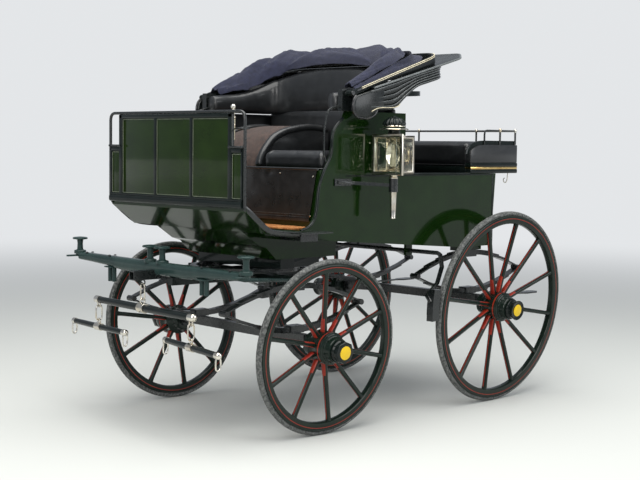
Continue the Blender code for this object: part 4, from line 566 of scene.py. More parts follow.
def bolts(places, size, height=None):
    # Each place is a point and the way that the head looks.
    heads = []
    for point, way in places:
        turn = Vector(way).to_track_quat("Z", "Y").to_matrix().to_4x4()
        heads.append(moved(bolt_head(size, height), turn, Matrix.Translation(Vector(point))))
    return joined(*heads)


def keep(name, shape, finishes, body, smooth_angle=35.0, replaces=()):
    mesh = bpy.data.meshes.new(name)
    shape.to_mesh(mesh)
    shape.free()
    for finish in finishes if isinstance(finishes, (list, tuple)) else [finishes]:
        mesh.materials.append(finish)
    mesh.shade_smooth()
    mesh.set_sharp_from_angle(angle=math.radians(smooth_angle))
    thing = bpy.data.objects.new(name, mesh)
    bpy.context.scene.collection.objects.link(thing)
    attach(thing, body)
    if replaces:
        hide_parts(*replaces)
    return thing


def on_carriage(name, shape, finish, smooth_angle, *stands_for):
    # One shape, or a list of shapes to join, drawn with the front axle at y = 0 and moved to its place here.
    whole = joined(*shape) if isinstance(shape, list) else shape
    return keep(name, moved(whole, CARRIAGE), finish, "carriage", smooth_angle, stands_for)


def side_block(side, inner, outer, low, high, width=0.0015, segments=2):
    # A block at one side, from its inner and outer x and its low and high (y, z).
    near, far = sorted((side * inner, side * outer))
    return block((near, *low), (far, *high), width, segments)


print("tools for shapes are ready")

# %% [markdown]
# ## Dressing a solid
# A solid of the frame is loose triangles with sharp corners. Where its shape is right, a copy is merged,
# its flat faces are joined again, and a small bevel is put on its edges, because an edge that catches no
# light is what gives a computer model away.

# %% Dressing a solid
def dressed(node, finish, width):
    shape = bmesh.new()
    shape.from_mesh(frame["nodes"][node].data)
    bmesh.ops.remove_doubles(shape, verts=shape.verts, dist=0.00002)
    bmesh.ops.dissolve_limit(shape, angle_limit=math.radians(0.6), verts=shape.verts, edges=shape.edges)
    thing = keep(node + "_dressed", shape, finish, body_of_node[node])
    bevel = thing.modifiers.new("edges", "BEVEL")
    bevel.width = width
    bevel.segments = 2
    bevel.limit_method = "ANGLE"
    bevel.angle_limit = math.radians(35.0)
    bevel.harden_normals = True
    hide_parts(node)


PLAIN_SOLIDS = (
    (PANEL_GREEN, "body_box boot footboard"),
    (CARRIAGE_BLACK, "fore_carriage_frame top_bed hood_bow_front hood_bow_middle hood_bow_rear"),
    (BLACK_IRON, "front_axle rear_axle turntable_lower_ring turntable_upper_ring pole_socket"),
    (BLACK_IRON, "hood_bracket_left hood_bracket_right lamp_bracket_left lamp_bracket_right"),
    (BLACK_IRON, "rear_rail brake_shaft step_plate_left step_plate_right"),
    (BLACK_IRON, "spring_front_left spring_front_right spring_rear_left spring_rear_right"),
    (NICKEL, "main_link swingletree_link_left swingletree_link_right"),
)
# These two slide on each other as the carriage steers, so their edges are hardly rounded.
SLIDING_PAIR = ("top_bed", "fore_carriage_frame")
EDGE_ROUNDING = 0.0015
SLIDING_ROUNDING = 0.0006
dressed_count = 0
for solid_finish, solid_names in PLAIN_SOLIDS:
    for solid_name in solid_names.split():
        dressed(solid_name, solid_finish, SLIDING_ROUNDING if solid_name in SLIDING_PAIR else EDGE_ROUNDING)
        dressed_count += 1
print("dressed solids:", dressed_count)

# %% [markdown]
# ## Wheels
# A wooden wheel is three crafts. The nave is turned, and holds the spokes in two planes so that the wheel
# is dished. The spokes are shaved from square feet to round necks. The felloes close the ring, and the
# coachliner draws red along the spokes and round the rim. Each part is made as its maker made it: the nave
# and felloe are spun, and each spoke is a section that changes along its length.

# %% Wheels
NAVE_RADIUS = 0.084
NAVE_OUTER = 0.115
TYRE_DEPTH = 0.0215
WHEELS = {
    "front": {"radius": 0.457, "spoke_circle": 0.39, "camber": math.radians(4.8), "spokes": 10,
              "first": {"left": 83.7, "right": 98.9}},
    "rear": {"radius": 0.56, "spoke_circle": 0.49, "camber": math.radians(5.14), "spokes": 12,
             "first": {"left": 99.3, "right": 113.8}},
}


def nave_centre(size):
    return -(size["spoke_circle"] - NAVE_RADIUS) * math.tan(size["camber"])


def felloe(size):
    inner = size["spoke_circle"]
    outer = size["radius"] - TYRE_DEPTH
    line = outer - 0.017
    half = 0.02
    face = [(half - 0.006, inner), (half - 0.001, inner + 0.004), (half, inner + 0.009),
            (half, line - 0.0035), (half, line), (half, outer - 0.008), (half - 0.001, outer - 0.006),
            (half, outer - 0.004), (half, outer - 0.001), (half - 0.002, outer)]
    other = [(-along, radius) for along, radius in face[::-1]]
    ring = turned(face + other, 96, ring=True)
    return tint(ring, 1, lambda middle, normal: abs(normal.x) > 0.9 and line - 0.0034 < middle.yz.length < line)


def spoke(size, turn):
    centre = nave_centre(size)
    length = size["spoke_circle"] - NAVE_RADIUS
    shares = ((-0.03, 0.02, 0.0142, 3.4), (0.02, 0.0196, 0.014, 3.2), (0.1, 0.0178, 0.0128, 2.9),
              (0.22, 0.015, 0.0122, 2.4), (0.34, 0.0138, 0.0128, 2.1), (0.6, 0.0134, 0.0124, 2.0),
              (0.92, 0.0136, 0.0122, 2.0), (0.97, 0.0146, 0.0134, 2.2), (1.02, 0.0148, 0.0136, 2.2))
    stations = []
    for share, wide, thick, power in shares:
        lean = centre * (1 - min(1.0, max(0.0, share)))
        stations.append(((lean, 0, NAVE_RADIUS + share * length), (wide, 0, 0), (0, thick, 0)))
    shape = lofted(stations, 22, 2.5)
    root = NAVE_RADIUS + 0.2 * length

    def lined(middle, normal):
        limit = 0.6 if middle.z < root else 0.9965
        return abs(normal.y) > limit and middle.z < size["spoke_circle"] - 0.004

    tint(shape, 1, lined)
    return moved(shape, Matrix.Rotation(turn, 4, "X"))


def nave(size):
    centre = nave_centre(size)
    profile = [(-0.095, 0.0234), (-0.095, 0.056), (-0.0935, 0.06), (-0.09, 0.062), (-0.066, 0.064),
               (-0.063, 0.0675), (-0.058, 0.0685), (-0.054, 0.067), (-0.048, 0.071), (-0.041, 0.078),
               (-0.037, 0.0815), (-0.0345, 0.084), (-0.03, 0.0848), (-0.0255, 0.084), (-0.023, 0.082),
               (0.023, 0.082), (0.0255, 0.084), (0.034, 0.0848), (0.041, 0.0848), (0.0412, 0.0835),
               (0.051, 0.0835), (0.0512, 0.0848), (0.0545, 0.085), (0.06, 0.0846), (0.0615, 0.0812),
               (0.063, 0.08), (0.066, 0.0802), (0.068, 0.078), (0.069, 0.0742), (0.0712, 0.0722),
               (0.076, 0.0726), (0.0785, 0.0712), (0.08, 0.0668), (0.084, 0.0656), (0.101, 0.065),
               (0.106, 0.064), (0.109, 0.0618), (0.115, 0.0612), (0.115, 0.0234)]
    shape = turned([(centre + along, radius) for along, radius in profile], 72, ring=True)
    return tint(shape, 1, lambda middle, normal: centre + 0.0414 < middle.x < centre
                + 0.0508 and middle.yz.length > 0.08)


def nave_bolts(size):
    # Six bolts go through the nave's flanges, between the spokes.
    centre = nave_centre(size)
    heads = []
    for number in range(6):
        turn = math.tau * (number + 0.25) / 6
        spot = (centre + 0.0795, 0.0695 * math.cos(turn), 0.0695 * math.sin(turn))
        heads.append((spot, (1, 0, 0)))
    return bolts(heads, 0.0032, 0.003)


def tyre(size):
    # The tread is coned by the camber, so that the foot of the wheel lies flat on the ground.
    lean = math.tan(size["camber"])
    half = 0.0168
    profile = [(-half + 0.003, size["radius"] - TYRE_DEPTH), (half - 0.003, size["radius"] - TYRE_DEPTH)]
    for step in range(15):
        share = 1 - step / 7
        along = half * share
        drop = 0.0085 * abs(share) ** 3.2
        profile.append((along, size["radius"] - 0.0002 - along * lean - drop))
    profile.insert(2, (half - 0.001, size["radius"] - 0.0185))
    profile.append((-half + 0.001, size["radius"] - 0.0185))
    return turned(profile, 128, ring=True)


def hub_cap(size, octagon):
    start = nave_centre(size) + NAVE_OUTER + 0.0004

    def spun(profile, steps):
        return turned([(start + along, radius) for along, radius in profile], steps)

    back = [(0.027, 0.0), (0.027, 0.033), (0.0, 0.033)]
    rim = [(0.0, 0.0545), (0.002, 0.0565), (0.01, 0.057), (0.013, 0.0555)]
    if octagon:
        body = spun(back + rim + [(0.018, 0.052), (0.046, 0.05), (0.05, 0.038), (0.05, 0.0)], 64)
        nut = spun([(0.021, 0.0), (0.021, 0.056), (0.0225, 0.0578), (0.045, 0.0578), (0.0478, 0.056),
                    (0.05, 0.05), (0.0502, 0.038), (0.0492, 0.0352), (0.0492, 0.0)], 8)
        disc = spun([(0.048, 0.0), (0.048, 0.0352), (0.0508, 0.0352), (0.0516, 0.0335), (0.052, 0.0)], 48)
        return joined(body, soften(nut, 0.0012, 2, 40.0), tint(disc, 1))
    body = spun(back + rim + [(0.018, 0.05), (0.026, 0.0492), (0.034, 0.0508), (0.042, 0.0552),
                              (0.0475, 0.0572), (0.05, 0.0566), (0.0518, 0.0545), (0.0505, 0.05),
                              (0.0475, 0.043), (0.047, 0.0365), (0.047, 0.0)], 64)
    disc = spun([(0.046, 0.0), (0.046, 0.0345), (0.0492, 0.0345), (0.05, 0.033), (0.0504, 0.0)], 48)
    return joined(body, tint(disc, 1))


for axle_end, size in WHEELS.items():
    for side_name in ("left", "right"):
        corner = axle_end + "_" + side_name
        place = joint_place("roll_" + corner)
        count = size["spokes"]
        parts = [nave(size), felloe(size)]
        for number in range(count):
            angle = math.radians(size["first"][side_name]) - number * math.tau / count
            parts.append(spoke(size, math.pi / 2 - angle))
        for part, shape, finish, smooth_angle in (
                ("wheel_", joined(*parts, nave_bolts(size)), [WHEEL_GREEN, LINE_RED], 40.0),
                ("tyre_", tyre(size), RUBBER, 40.0),
                ("hub_cap_", hub_cap(size, axle_end == "front"), [CARRIAGE_BLACK, DISC_YELLOW], 28.0)):
            keep(part + corner + "_dressed", moved(shape, place), finish, "wheel_" + corner, smooth_angle,
                 [part + corner])
print("wheels:", len(WHEELS) * 2, "with nave radius in mm:", round(NAVE_RADIUS * 1000))

# %% [markdown]
# ## Dash
# A dash is a framed door turned into a shield: thin panels in a grid of stiles and rails, with a fine bead
# round each panel. The frame stands 7.5 mm proud of the panels, and its rounded bottom rail takes the boots
# of whoever climbs up, so it is the heaviest. Each board is a bevelled block, and each bead a bent wire.

# %% Dash board
DASH_FRONT = -0.5045
PANEL_FACE = DASH_FRONT + 0.0075
DASH_BACK = -0.4849
BOARD_TOP = 1.6364
WING_TOP = 1.465
WING_EDGE = 0.5508
panels = [(-0.4405, -0.161), (-0.139, 0.139), (0.161, 0.4405)]
wing_panels = [(-0.537, -0.47), (0.47, 0.537)]
boards = [block((-0.455, PANEL_FACE, 1.185), (0.455, DASH_BACK, BOARD_TOP - 0.004))]
for side in SIDES:
    boards.append(side_block(side, 0.456, WING_EDGE - 0.003, (PANEL_FACE, 1.185),
                             (DASH_BACK, WING_TOP - 0.004)))
for x in (-0.15, 0.15):
    boards.append(block((x - 0.011, DASH_FRONT, 1.19), (x + 0.011, DASH_BACK, BOARD_TOP - 0.006), 0.003))
for side in SIDES:
    boards.append(block((side * 0.4552 - 0.0148, DASH_FRONT - 0.001, 1.186),
                        (side * 0.4552 + 0.0148, DASH_BACK, BOARD_TOP), 0.004, 3))
    boards.append(block((side * 0.5439 - 0.0069, DASH_FRONT, 1.186),
                        (side * 0.5439 + 0.0069, DASH_BACK, WING_TOP), 0.003))
    boards.append(side_block(side, 0.46, WING_EDGE, (DASH_FRONT, WING_TOP - 0.024), (DASH_BACK, WING_TOP),
                             0.004, 3))
boards.append(block((-0.47, DASH_FRONT - 0.001, BOARD_TOP - 0.022), (0.47, DASH_BACK, BOARD_TOP), 0.004, 3))
frame_boards = joined(*boards)
tint(frame_boards, 1, lambda middle, normal: normal.y < -0.9 and abs(middle.y - PANEL_FACE) < 0.001)
keep("dash_boards", moved(frame_boards, CARRIAGE), [CARRIAGE_BLACK, DASH_GREEN], "carriage",
     replaces=["dash_board"])


def dash_bar(front, z, thick, tall, *section):
    return lofted([((x, front, z), (0, thick, 0), (0, 0, tall))
                   for x in (-WING_EDGE, -0.3, 0.0, 0.3, WING_EDGE)], *section)


foot_rail = dash_bar(DASH_FRONT + 0.004, 1.186, 0.0125, 0.0185, 20, 2.6)
upper_step = dash_bar(DASH_FRONT + 0.002, 1.2085, 0.006, 0.006, 14)
keep("dash_foot_rail", moved(joined(foot_rail, upper_step), CARRIAGE), CARRIAGE_BLACK, "carriage")

# %% Beads, wing irons and the dash rail
beads = []
framed = [(*pair, BOARD_TOP - 0.026) for pair in panels] + [(*pair, WING_TOP - 0.03) for pair in wing_panels]
for low, high, top in framed:
    corners = [(x, PANEL_FACE - 0.0006, z) for x, z in ((low, 1.2175), (high, 1.2175), (high, top), (low, top))]
    beads.append(tube(rounded(corners, 0.003, 3, closed=True), 0.0017, 8, closed=True, up=(0, 1, 0)))
# The beads' pale paint is a painted highlight, not the colour of the beads.
on_carriage("dash_beads", beads, PALE_BEAD_HIGHLIGHT, 50)

RAIL_Y = -0.4945
IRON_Y = DASH_FRONT - 0.002
irons = []
rail_path = mirrored([(-0.5595, RAIL_Y, 1.172), (-0.5595, RAIL_Y, 1.6449)])
irons.append(tube(rounded(rail_path, 0.042, 10), 0.0081, 16, up=(0, 1, 0)))
for side in SIDES:
    wing_iron = [(side * x, IRON_Y, 1.47) for x in (0.45, 0.464, 0.546)]
    wing_iron.append((side * 0.556, RAIL_Y, 1.47))
    irons.append(tube(wing_iron, 0.0058, 14))
    for end in (0.456, 0.548):
        collar = turned([(-0.007, 0), (-0.006, 0.0068), (0.006, 0.0068), (0.007, 0)], 18)
        irons.append(moved(collar, at(side * end, IRON_Y, 1.47)))
    edge = [(side * 0.5545, -0.487, 1.172), (side * 0.56, -0.46, 1.15), (side * 0.562, -0.395, 1.098),
            (side * 0.562, -0.32, 1.052), (side * 0.562, -0.2, 1.034), (side * 0.56, -0.115, 1.03)]
    irons.append(tube(flowing(edge, 5), 0.004, 12, flat=3.4, power=3.2, up=(0, 0, 1)))
on_carriage("dash_rail_dressed", irons, BLACK_IRON, 40, "dash_rail")

whip_profile = [(1.5, 0.0), (1.5, 0.0065), (1.506, 0.0085), (1.575, 0.01), (1.577, 0.0125), (1.584, 0.0125),
                (1.586, 0.01), (1.612, 0.0105), (1.614, 0.013), (1.621, 0.013), (1.623, 0.0085),
                (1.642, 0.008), (1.644, 0.0115), (1.65, 0.0115), (1.652, 0.006), (1.658, 0.006),
                (1.661, 0.0105), (1.667, 0.0125), (1.674, 0.0125), (1.68, 0.0085), (1.682, 0.0)]
whip_tube = moved(upright(turned(whip_profile, 28)), at(0.432, -0.462, 0))
tint(whip_tube, 1, lambda middle, normal: 1.506 < middle.z < 1.574 or 1.587 < middle.z < 1.611)
arm_line = [(0.44, -0.462, 1.56), (0.56, -0.462, 1.56), (0.56, RAIL_Y - 0.002, 1.56)]
whip_arm = tube(rounded(arm_line, 0.02), 0.0035, 10)
keep("whip_socket", moved(joined(whip_tube, tint(whip_arm, 2)), CARRIAGE), [NICKEL, IVORY, BLACK_IRON],
     "carriage", 30)
print("dash panels:", len(panels) + len(wing_panels), "beads:", len(beads))

# %% [markdown]
# ## Lamps
# A coach lamp is a soldered nickel box. Bevelled glass fills its front and sides, so what one models is a frame
# of four bars round each pane, the pane behind it, and a bright bowl inside that throws the candle's light
# forward. The chimney above it is painted black, because nickel would go blue there.

# %% Lamps
LAMP_X = 0.685
LAMP_HALF = 0.11
LAMP_FRONT = -0.055
LAMP_LOW = 1.331
LAMP_HIGH = 1.548
CASE_HALF = 0.098
CASE_FRONT = LAMP_FRONT + 0.0125
CASE_BACK = 0.055
CASE_LOW = LAMP_LOW + 0.008
CASE_HIGH = LAMP_HIGH - 0.008


def lamp_window(low, high, axis, face, wall=0.02, depth=0.008):
    # A frame of four bevelled bars round a pane, in the plane across that axis.
    outer = [(low[0], low[1]), (high[0], low[1]), (high[0], high[1]), (low[0], high[1])]
    shape = board(outer, face, face + depth, axis, 0)
    area = (high[0] - low[0]) * (high[1] - low[1])
    front_faces = [item for item in shape.faces if abs(item.calc_area() - area) < 1e-6]
    bmesh.ops.inset_region(shape, faces=front_faces, thickness=wall, use_even_offset=True)
    bmesh.ops.delete(shape, geom=front_faces, context="FACES")
    rims = [edge for edge in shape.edges if edge.is_boundary]
    bmesh.ops.bridge_loops(shape, edges=rims)
    tidy(shape)
    return soften(shape, 0.0018, 2, 40.0)


def over_lamp(profile, steps, ring=False):
    # Turned upright; the first number of each pair is the height over the lamp's box.
    return upright(turned([(LAMP_HIGH + rise, radius) for rise, radius in profile], steps, ring))


def lamp_parts():
    shell = [lamp_window((-LAMP_HALF, LAMP_LOW), (LAMP_HALF, LAMP_HIGH), "Y", LAMP_FRONT, 0.019, 0.013)]
    for side in SIDES:
        face = CASE_HALF - 0.008 if side > 0 else -CASE_HALF
        shell.append(lamp_window((CASE_FRONT, CASE_LOW), (CASE_BACK, CASE_HIGH), "X", face, 0.015, 0.008))
    for low, high in (((CASE_FRONT, CASE_LOW), (CASE_BACK, LAMP_LOW + 0.016)),
                      ((CASE_FRONT, LAMP_HIGH - 0.016), (CASE_BACK, CASE_HIGH)),
                      ((0.049, CASE_LOW), (CASE_BACK, CASE_HIGH))):
        shell.append(block((-CASE_HALF, *low), (CASE_HALF, *high)))
    reflector = upright(turned([(1.372, 0.013), (1.38, 0.018), (1.42, 0.018), (1.424, 0.015),
                                (1.49, 0.006), (1.492, 0.0)], 28))
    bowl = turned([(0.0, 0.07), (0.01, 0.058), (0.02, 0.036), (0.026, 0.0)], 40)
    bmesh.ops.solidify(bowl, geom=bowl.faces[:], thickness=0.0012)
    shell.append(moved(bowl, Matrix.Rotation(math.pi / 2, 4, "Z"), at(0, 0.018, 1.44)))
    shell.append(over_lamp([(0.022, 0.04), (0.0225, 0.0745), (0.0255, 0.0768), (0.0285, 0.0745),
                            (0.032, 0.064), (0.032, 0.04)], 64, True))
    shell.append(over_lamp([(0.038, 0.03), (0.0385, 0.061), (0.0415, 0.0625), (0.045, 0.059),
                            (0.045, 0.03)], 64, True))
    shell.append(upright(turned([(1.1, 0.0), (1.1, 0.0135), (1.103, 0.0152), (1.106, 0.0146),
                                 (1.22, 0.0176), (1.224, 0.0184), (1.312, 0.0184), (1.3122, 0.0236),
                                 (1.318, 0.024), (1.323, 0.02), (1.33, 0.024), (1.34, 0.03),
                                 (1.34, 0.0)], 40)))
    metal = joined(*shell)
    chimney = over_lamp([(-0.008, 0.0), (-0.008, 0.034), (0.0, 0.036), (0.006, 0.031), (0.022, 0.031),
                         (0.022, 0.0)], 40)
    dome = over_lamp([(0.0455, 0.0), (0.0455, 0.056), (0.052, 0.06), (0.06, 0.0585), (0.07, 0.052),
                      (0.08, 0.04), (0.087, 0.025), (0.0905, 0.011), (0.0935, 0.01), (0.095, 0.0)], 96)
    for corner in dome.verts:
        # Vents run round the dome as flutes.
        turn = math.atan2(corner.co.y, corner.co.x)
        radius = corner.co.xy.length
        if 0.02 < radius < 0.0605 and corner.co.z > LAMP_HIGH + 0.05:
            corner.co.xy *= 1 + 0.055 * math.cos(turn * 16)
    return metal, joined(chimney, dome), reflector


def lamp_glass():
    # Each pane has a wide bevel, which is what makes coach glass glitter.
    panes = [block((-0.0915, LAMP_FRONT + 0.004, LAMP_LOW + 0.0185),
                   (0.0915, LAMP_FRONT + 0.01, LAMP_HIGH - 0.0185), 0)]
    for side in SIDES:
        panes.append(side_block(side, CASE_HALF - 0.0065, CASE_HALF - 0.002,
                                (LAMP_FRONT + 0.027, LAMP_LOW + 0.0225),
                                (0.0405, LAMP_HIGH - 0.0225), 0))
    for pane in panes:
        bmesh.ops.bevel(pane, geom=pane.edges[:], offset=0.0016, segments=1, profile=0.5, affect="EDGES",
                        material=-1)
    mullion = [block((-0.0012 + x, LAMP_FRONT + 0.0105, LAMP_LOW + 0.02),
                     (0.0012 + x, CASE_FRONT, LAMP_HIGH - 0.02), 0) for x in (-0.062, 0.062)]
    return joined(*panes, *mullion)


for side_name, side in (("left", 1), ("right", -1)):
    place = CARRIAGE @ at(side * LAMP_X, 0.44, 0)
    body = "lamp_" + side_name
    metal, black, candle = lamp_parts()
    keep(body + "_case", moved(metal, place), NICKEL, body, 30, [body])
    keep(body + "_chimney", moved(black, place), CARRIAGE_BLACK, body, 50)
    keep(body + "_candle", moved(candle, place, at(0, 0, 0.004)), IVORY, body)
    keep(body + "_glass", moved(lamp_glass(), place), LAMP_GLASS, body, 20)
print("lamps stand", round(LAMP_X - 0.55, 3), "m out from the body side")

# %% [markdown]
# ## Soft seats
# A carriage cushion is leather sewn over horsehair. It is cut flat, and the stuffing pushes it out until the
# seams hold it, so it is made the same way here: a plain closed box becomes cloth, air pressure swells it,
# and each point may move only as far as real leather would give. The welts and seams are sewn on after.

# %% Swelling a cushion
PUFFED = []
SEAT_BOARD = 1.3565
SWELL_FRAMES = 20


def to_swell(name, shape, voxel, pressure, give, *stands_for):
    thing = on_carriage(name, shape, SEAT_LEATHER, 60.0, *stands_for)
    even = thing.modifiers.new("even", "REMESH")
    even.mode = "VOXEL"
    even.voxel_size = voxel
    graph = bpy.context.evaluated_depsgraph_get()
    mesh = bpy.data.meshes.new_from_object(thing.evaluated_get(graph))
    thing.modifiers.remove(even)
    thing.data = mesh
    mesh.materials.clear()
    mesh.materials.append(SEAT_LEATHER)
    air = thing.modifiers.new("air", "CLOTH")
    air.settings.quality = 4
    air.settings.mass = 0.4
    air.settings.use_pressure = True
    air.settings.uniform_pressure_force = pressure
    air.settings.tension_stiffness = 20
    air.settings.compression_stiffness = 20
    air.settings.bending_stiffness = 2.0
    air.settings.effector_weights.gravity = 0.0
    air.collision_settings.use_collision = False
    air.point_cache.frame_start = 1
    air.point_cache.frame_end = SWELL_FRAMES
    PUFFED.append((thing, give))
    return thing


def swell_all():
    stage = bpy.context.scene
    stage.frame_start = 1
    stage.frame_end = SWELL_FRAMES
    for step in range(1, SWELL_FRAMES + 1):
        stage.frame_set(step)
    graph = bpy.context.evaluated_depsgraph_get()
    for thing, give in PUFFED:
        rest = [corner.co.copy() for corner in thing.data.vertices]
        low = min(spot.z for spot in rest)
        swollen = thing.evaluated_get(graph).data
        for corner, start, end in zip(thing.data.vertices, rest, [spot.co.copy() for spot in swollen.vertices]):
            step = end - start
            if step.length > give:
                step = step.normalized() * give
            if start.z < low + 0.004:
                step.z = 0.0
            corner.co = start + step
        for old in list(thing.modifiers):
            thing.modifiers.remove(old)
        thing.data.shade_smooth()
        finer = thing.modifiers.new("finer", "SUBSURF")
        finer.levels = 1
        finer.render_levels = 1
    stage.frame_set(1)


to_swell("passenger_pad", block((0.052, 0.066, SEAT_BOARD), (0.52, 0.596, 1.446), 0.03, 4), 0.006, 5.0, 0.01,
         "passenger_cushion")
to_swell("rear_pad", block((-0.494, 1.296, 1.372), (0.494, 1.648, 1.507), 0.034, 4), 0.008, 5.0, 0.012,
         "rear_cushion")
LOWER_BACK = [(-0.511, 0.656), (0.511, 0.656), (0.511, 0.63), (-0.511, 0.63)]
to_swell("lower_back_pad", board(LOWER_BACK, 1.462, 1.694, "Z", 0.014, 4), 0.007, 4.0, 0.008)
swell_all()
print("swollen pads:", len(PUFFED))

# %% [markdown]
# The welts are thin cords sewn into the cushion's edges. The driver sits on a wedge of its own: a leather
# box with brown cord cloth on top, held between two thick leather rolls that keep the driver from sliding.

# %% Welts and the driver's wedge
def welt(low, high, z):
    corners = [(low[0], low[1], z), (high[0], low[1], z), (high[0], high[1], z), (low[0], high[1], z)]
    return tube(rounded(corners, 0.03, 6, closed=True), 0.0035, 8, closed=True)


welts = [welt((0.05, 0.064), (0.522, 0.598), 1.362), welt((-0.497, 1.293), (0.497, 1.651), 1.378)]
on_carriage("cushion_welts", welts, SEAT_LEATHER, 60)

WEDGE_LINE = [(0.078, 1.366), (0.084, 1.395), (0.104, 1.436), (0.145, 1.485), (0.19, 1.524), (0.255, 1.553),
              (0.33, 1.57), (0.42, 1.582), (0.52, 1.58), (0.596, 1.566)]
WEDGE_LEFT = 0.04
WEDGE_RIGHT = -0.415
ROLL = 0.0225
wedge_run = flowing([(0, y, z) for y, z in WEDGE_LINE], 8)


def wedge_out(number):
    before, after = beside(wedge_run, number)
    return Vector((0, -(after.z - before.z), after.y - before.y)).normalized()


side_line = [(spot.y, spot.z - 0.01) for spot in wedge_run]
wedge_box = board(side_line + [(0.596, SEAT_BOARD), (0.084, SEAT_BOARD)],
                  WEDGE_RIGHT + 0.006, WEDGE_LEFT - 0.006, "X", 0.004)
on_carriage("driver_box", wedge_box, SEAT_LEATHER, 60, "driver_cushion")

cord_top = bmesh.new()
bmesh.ops.create_grid(cord_top, x_segments=28, y_segments=len(wedge_run) - 1, size=1.0)
for corner in cord_top.verts:
    share = (corner.co.x + 1) / 2
    number = round((corner.co.y + 1) / 2 * (len(wedge_run) - 1))
    spot = wedge_run[number]
    out = wedge_out(number)
    crown = 0.012 * (1 - (2 * share - 1) ** 4) - 0.002
    ripple = 0.0022 * noise.noise(Vector((share * 4, number * 0.12, 3.1)))
    x = WEDGE_RIGHT + 0.02 + share * (WEDGE_LEFT - WEDGE_RIGHT - 0.04)
    corner.co = Vector((x, spot.y, spot.z)) + out * (crown + ripple)
bmesh.ops.solidify(cord_top, geom=cord_top.faces[:], thickness=0.006)
cord_seat = on_carriage("driver_cord_top", tidy(cord_top), BROWN_CLOTH, 60)

rolls = []
for x in (WEDGE_RIGHT + ROLL * 0.9, WEDGE_LEFT - ROLL * 0.9):
    stations = []
    for number, spot in enumerate(wedge_run):
        ends = tapered(number, len(wedge_run), 0.55, 7)
        out = wedge_out(number)
        puff = ROLL * ends * (1 + 0.03 * noise.noise(Vector((x * 9, number * 0.3, 0.5))))
        stations.append((Vector((x, spot.y, spot.z)) + out * 0.001, (puff, 0, 0), out * puff * 0.92))
    rolls.append(lofted(stations, 24, 2.2))
roll_pair = on_carriage("driver_rolls", rolls, SEAT_LEATHER, 70)
print("wedge height at the back in mm:", round((WEDGE_LINE[-1][1] - SEAT_BOARD) * 1000))

# %% [markdown]
# The seat's back is one long padded roll on a bent board: tall in the middle, low at the arms. It is lofted
# along the line of the board. A seam pulls it in at both rear corners, and the leather swells between.

# %% Padded seat back
BACK_LOW = 1.666
BACK_TOP = 1.934
BACK_HALF = [(0.492, 0.165, 1.765), (0.496, 0.27, 1.775), (0.492, 0.385, 1.789), (0.486, 0.492, 1.818),
             (0.452, 0.59, 1.862), (0.36, 0.652, 1.898), (0.2, 0.674, 1.926)]
back_line = flowing(mirrored(BACK_HALF, [(0.0, 0.68, BACK_TOP)]), 8)
back_count = len(back_line)


def nearest_on_back(x, y):
    # The number of the point of the back's line that is nearest to that place.
    return min(range(back_count), key=lambda number: (back_line[number].xy - Vector((x, y))).length)


seam_spots = [nearest_on_back(side * 0.425, 0.615) for side in SIDES]
stations = []
for number, spot in enumerate(back_line):
    before, after = beside(back_line, number)
    along = Vector((after.x - before.x, after.y - before.y, 0)).normalized()
    across = along.cross(Vector((0, 0, 1)))
    ends = tapered(number, back_count, 0.5, 9)
    seam = min(abs(number - seam_spot) for seam_spot in seam_spots)
    pull = 1 - 0.13 * math.exp(-(seam / 0.55) ** 2)
    puff = 1 + 0.03 * noise.noise(Vector((number * 0.16, 1.7, 0.3)))
    low = BACK_LOW
    high = spot.z - 0.004
    tall = (high - low) / 2 * (0.9 + 0.1 * ends) * (1 - (1 - pull) * 0.25)
    stations.append(((spot.x, spot.y, (low + high) / 2), across * 0.0425 * math.sqrt(ends) * pull * puff,
                     (0, 0, tall)))
back_roll = lofted(stations, 40, 2.35)
for corner in back_roll.verts:
    # Fine creases run away from the seams, and the stuffing is never quite even.
    wave = noise.noise(corner.co * 9.0) * 0.0022 + noise.noise(corner.co * 28.0) * 0.0007
    corner.co += corner.normal * wave
back_pad = on_carriage("seat_back_roll", back_roll, SEAT_LEATHER, 80, "seat_back")
side_pads = []
for side in SIDES:
    side_pads.append(side_block(side, 0.513, 0.5265, (0.228, 1.47), (0.652, 1.662), 0.006, 3))
on_carriage("side_pads", side_pads, SEAT_LEATHER, 60)
print("seat back stands", round((BACK_TOP - BACK_LOW) * 1000), "mm over the board, with", len(seam_spots),
      "seams")

# %% [markdown]
# The fall is the leather skirt below the seat, with a stitched hem. The mat is coir: short stiff fibres.

# %% Seat fall and mat
FALL_FACE = 0.023
FALL_LOW = 1.085
FALL_HIGH = 1.363
FALL_LOW_HALF = 0.47
FALL_HIGH_HALF = 0.528


def fall_half(z):
    # Half the fall's width, which grows upwards.
    return FALL_LOW_HALF + (FALL_HIGH_HALF - FALL_LOW_HALF) * (z - FALL_LOW) / (FALL_HIGH - FALL_LOW)


fall = bmesh.new()
bmesh.ops.create_grid(fall, x_segments=72, y_segments=40, size=1.0)
for corner in fall.verts:
    u = corner.co.x
    v = (corner.co.y + 1) / 2
    z = 1.086 + v * (1.36 - 1.086)
    inward = min((1 - abs(u)) * 0.5, v * 0.27, (1 - v) * 0.27)
    hem = 0.0028 * math.exp(-((inward - 0.006) / 0.005) ** 2)
    sway = 0.0016 * noise.noise(Vector((u * 3.0, v * 2.0, 5.0)))
    sway += 0.001 * noise.noise(Vector((u * 9.0, v * 5.0, 1.0)))
    pinch = 0.004 * math.exp(-((u - 0.3) / 0.035) ** 2 - ((v - 0.88) / 0.05) ** 2)
    corner.co = Vector((u * fall_half(z), FALL_FACE + 0.0035 - hem + sway + pinch, z))
bmesh.ops.solidify(fall, geom=fall.faces[:], thickness=-0.006)
on_carriage("seat_fall_leather", tidy(fall), FALL_LEATHER, 60, "seat_fall")
lip = tube([(-0.531, 0.029, 1.36), (-0.2, 0.0275, 1.36), (0.2, 0.0275, 1.36), (0.531, 0.029, 1.36)],
           0.0068, 12)
stitch_rows = []
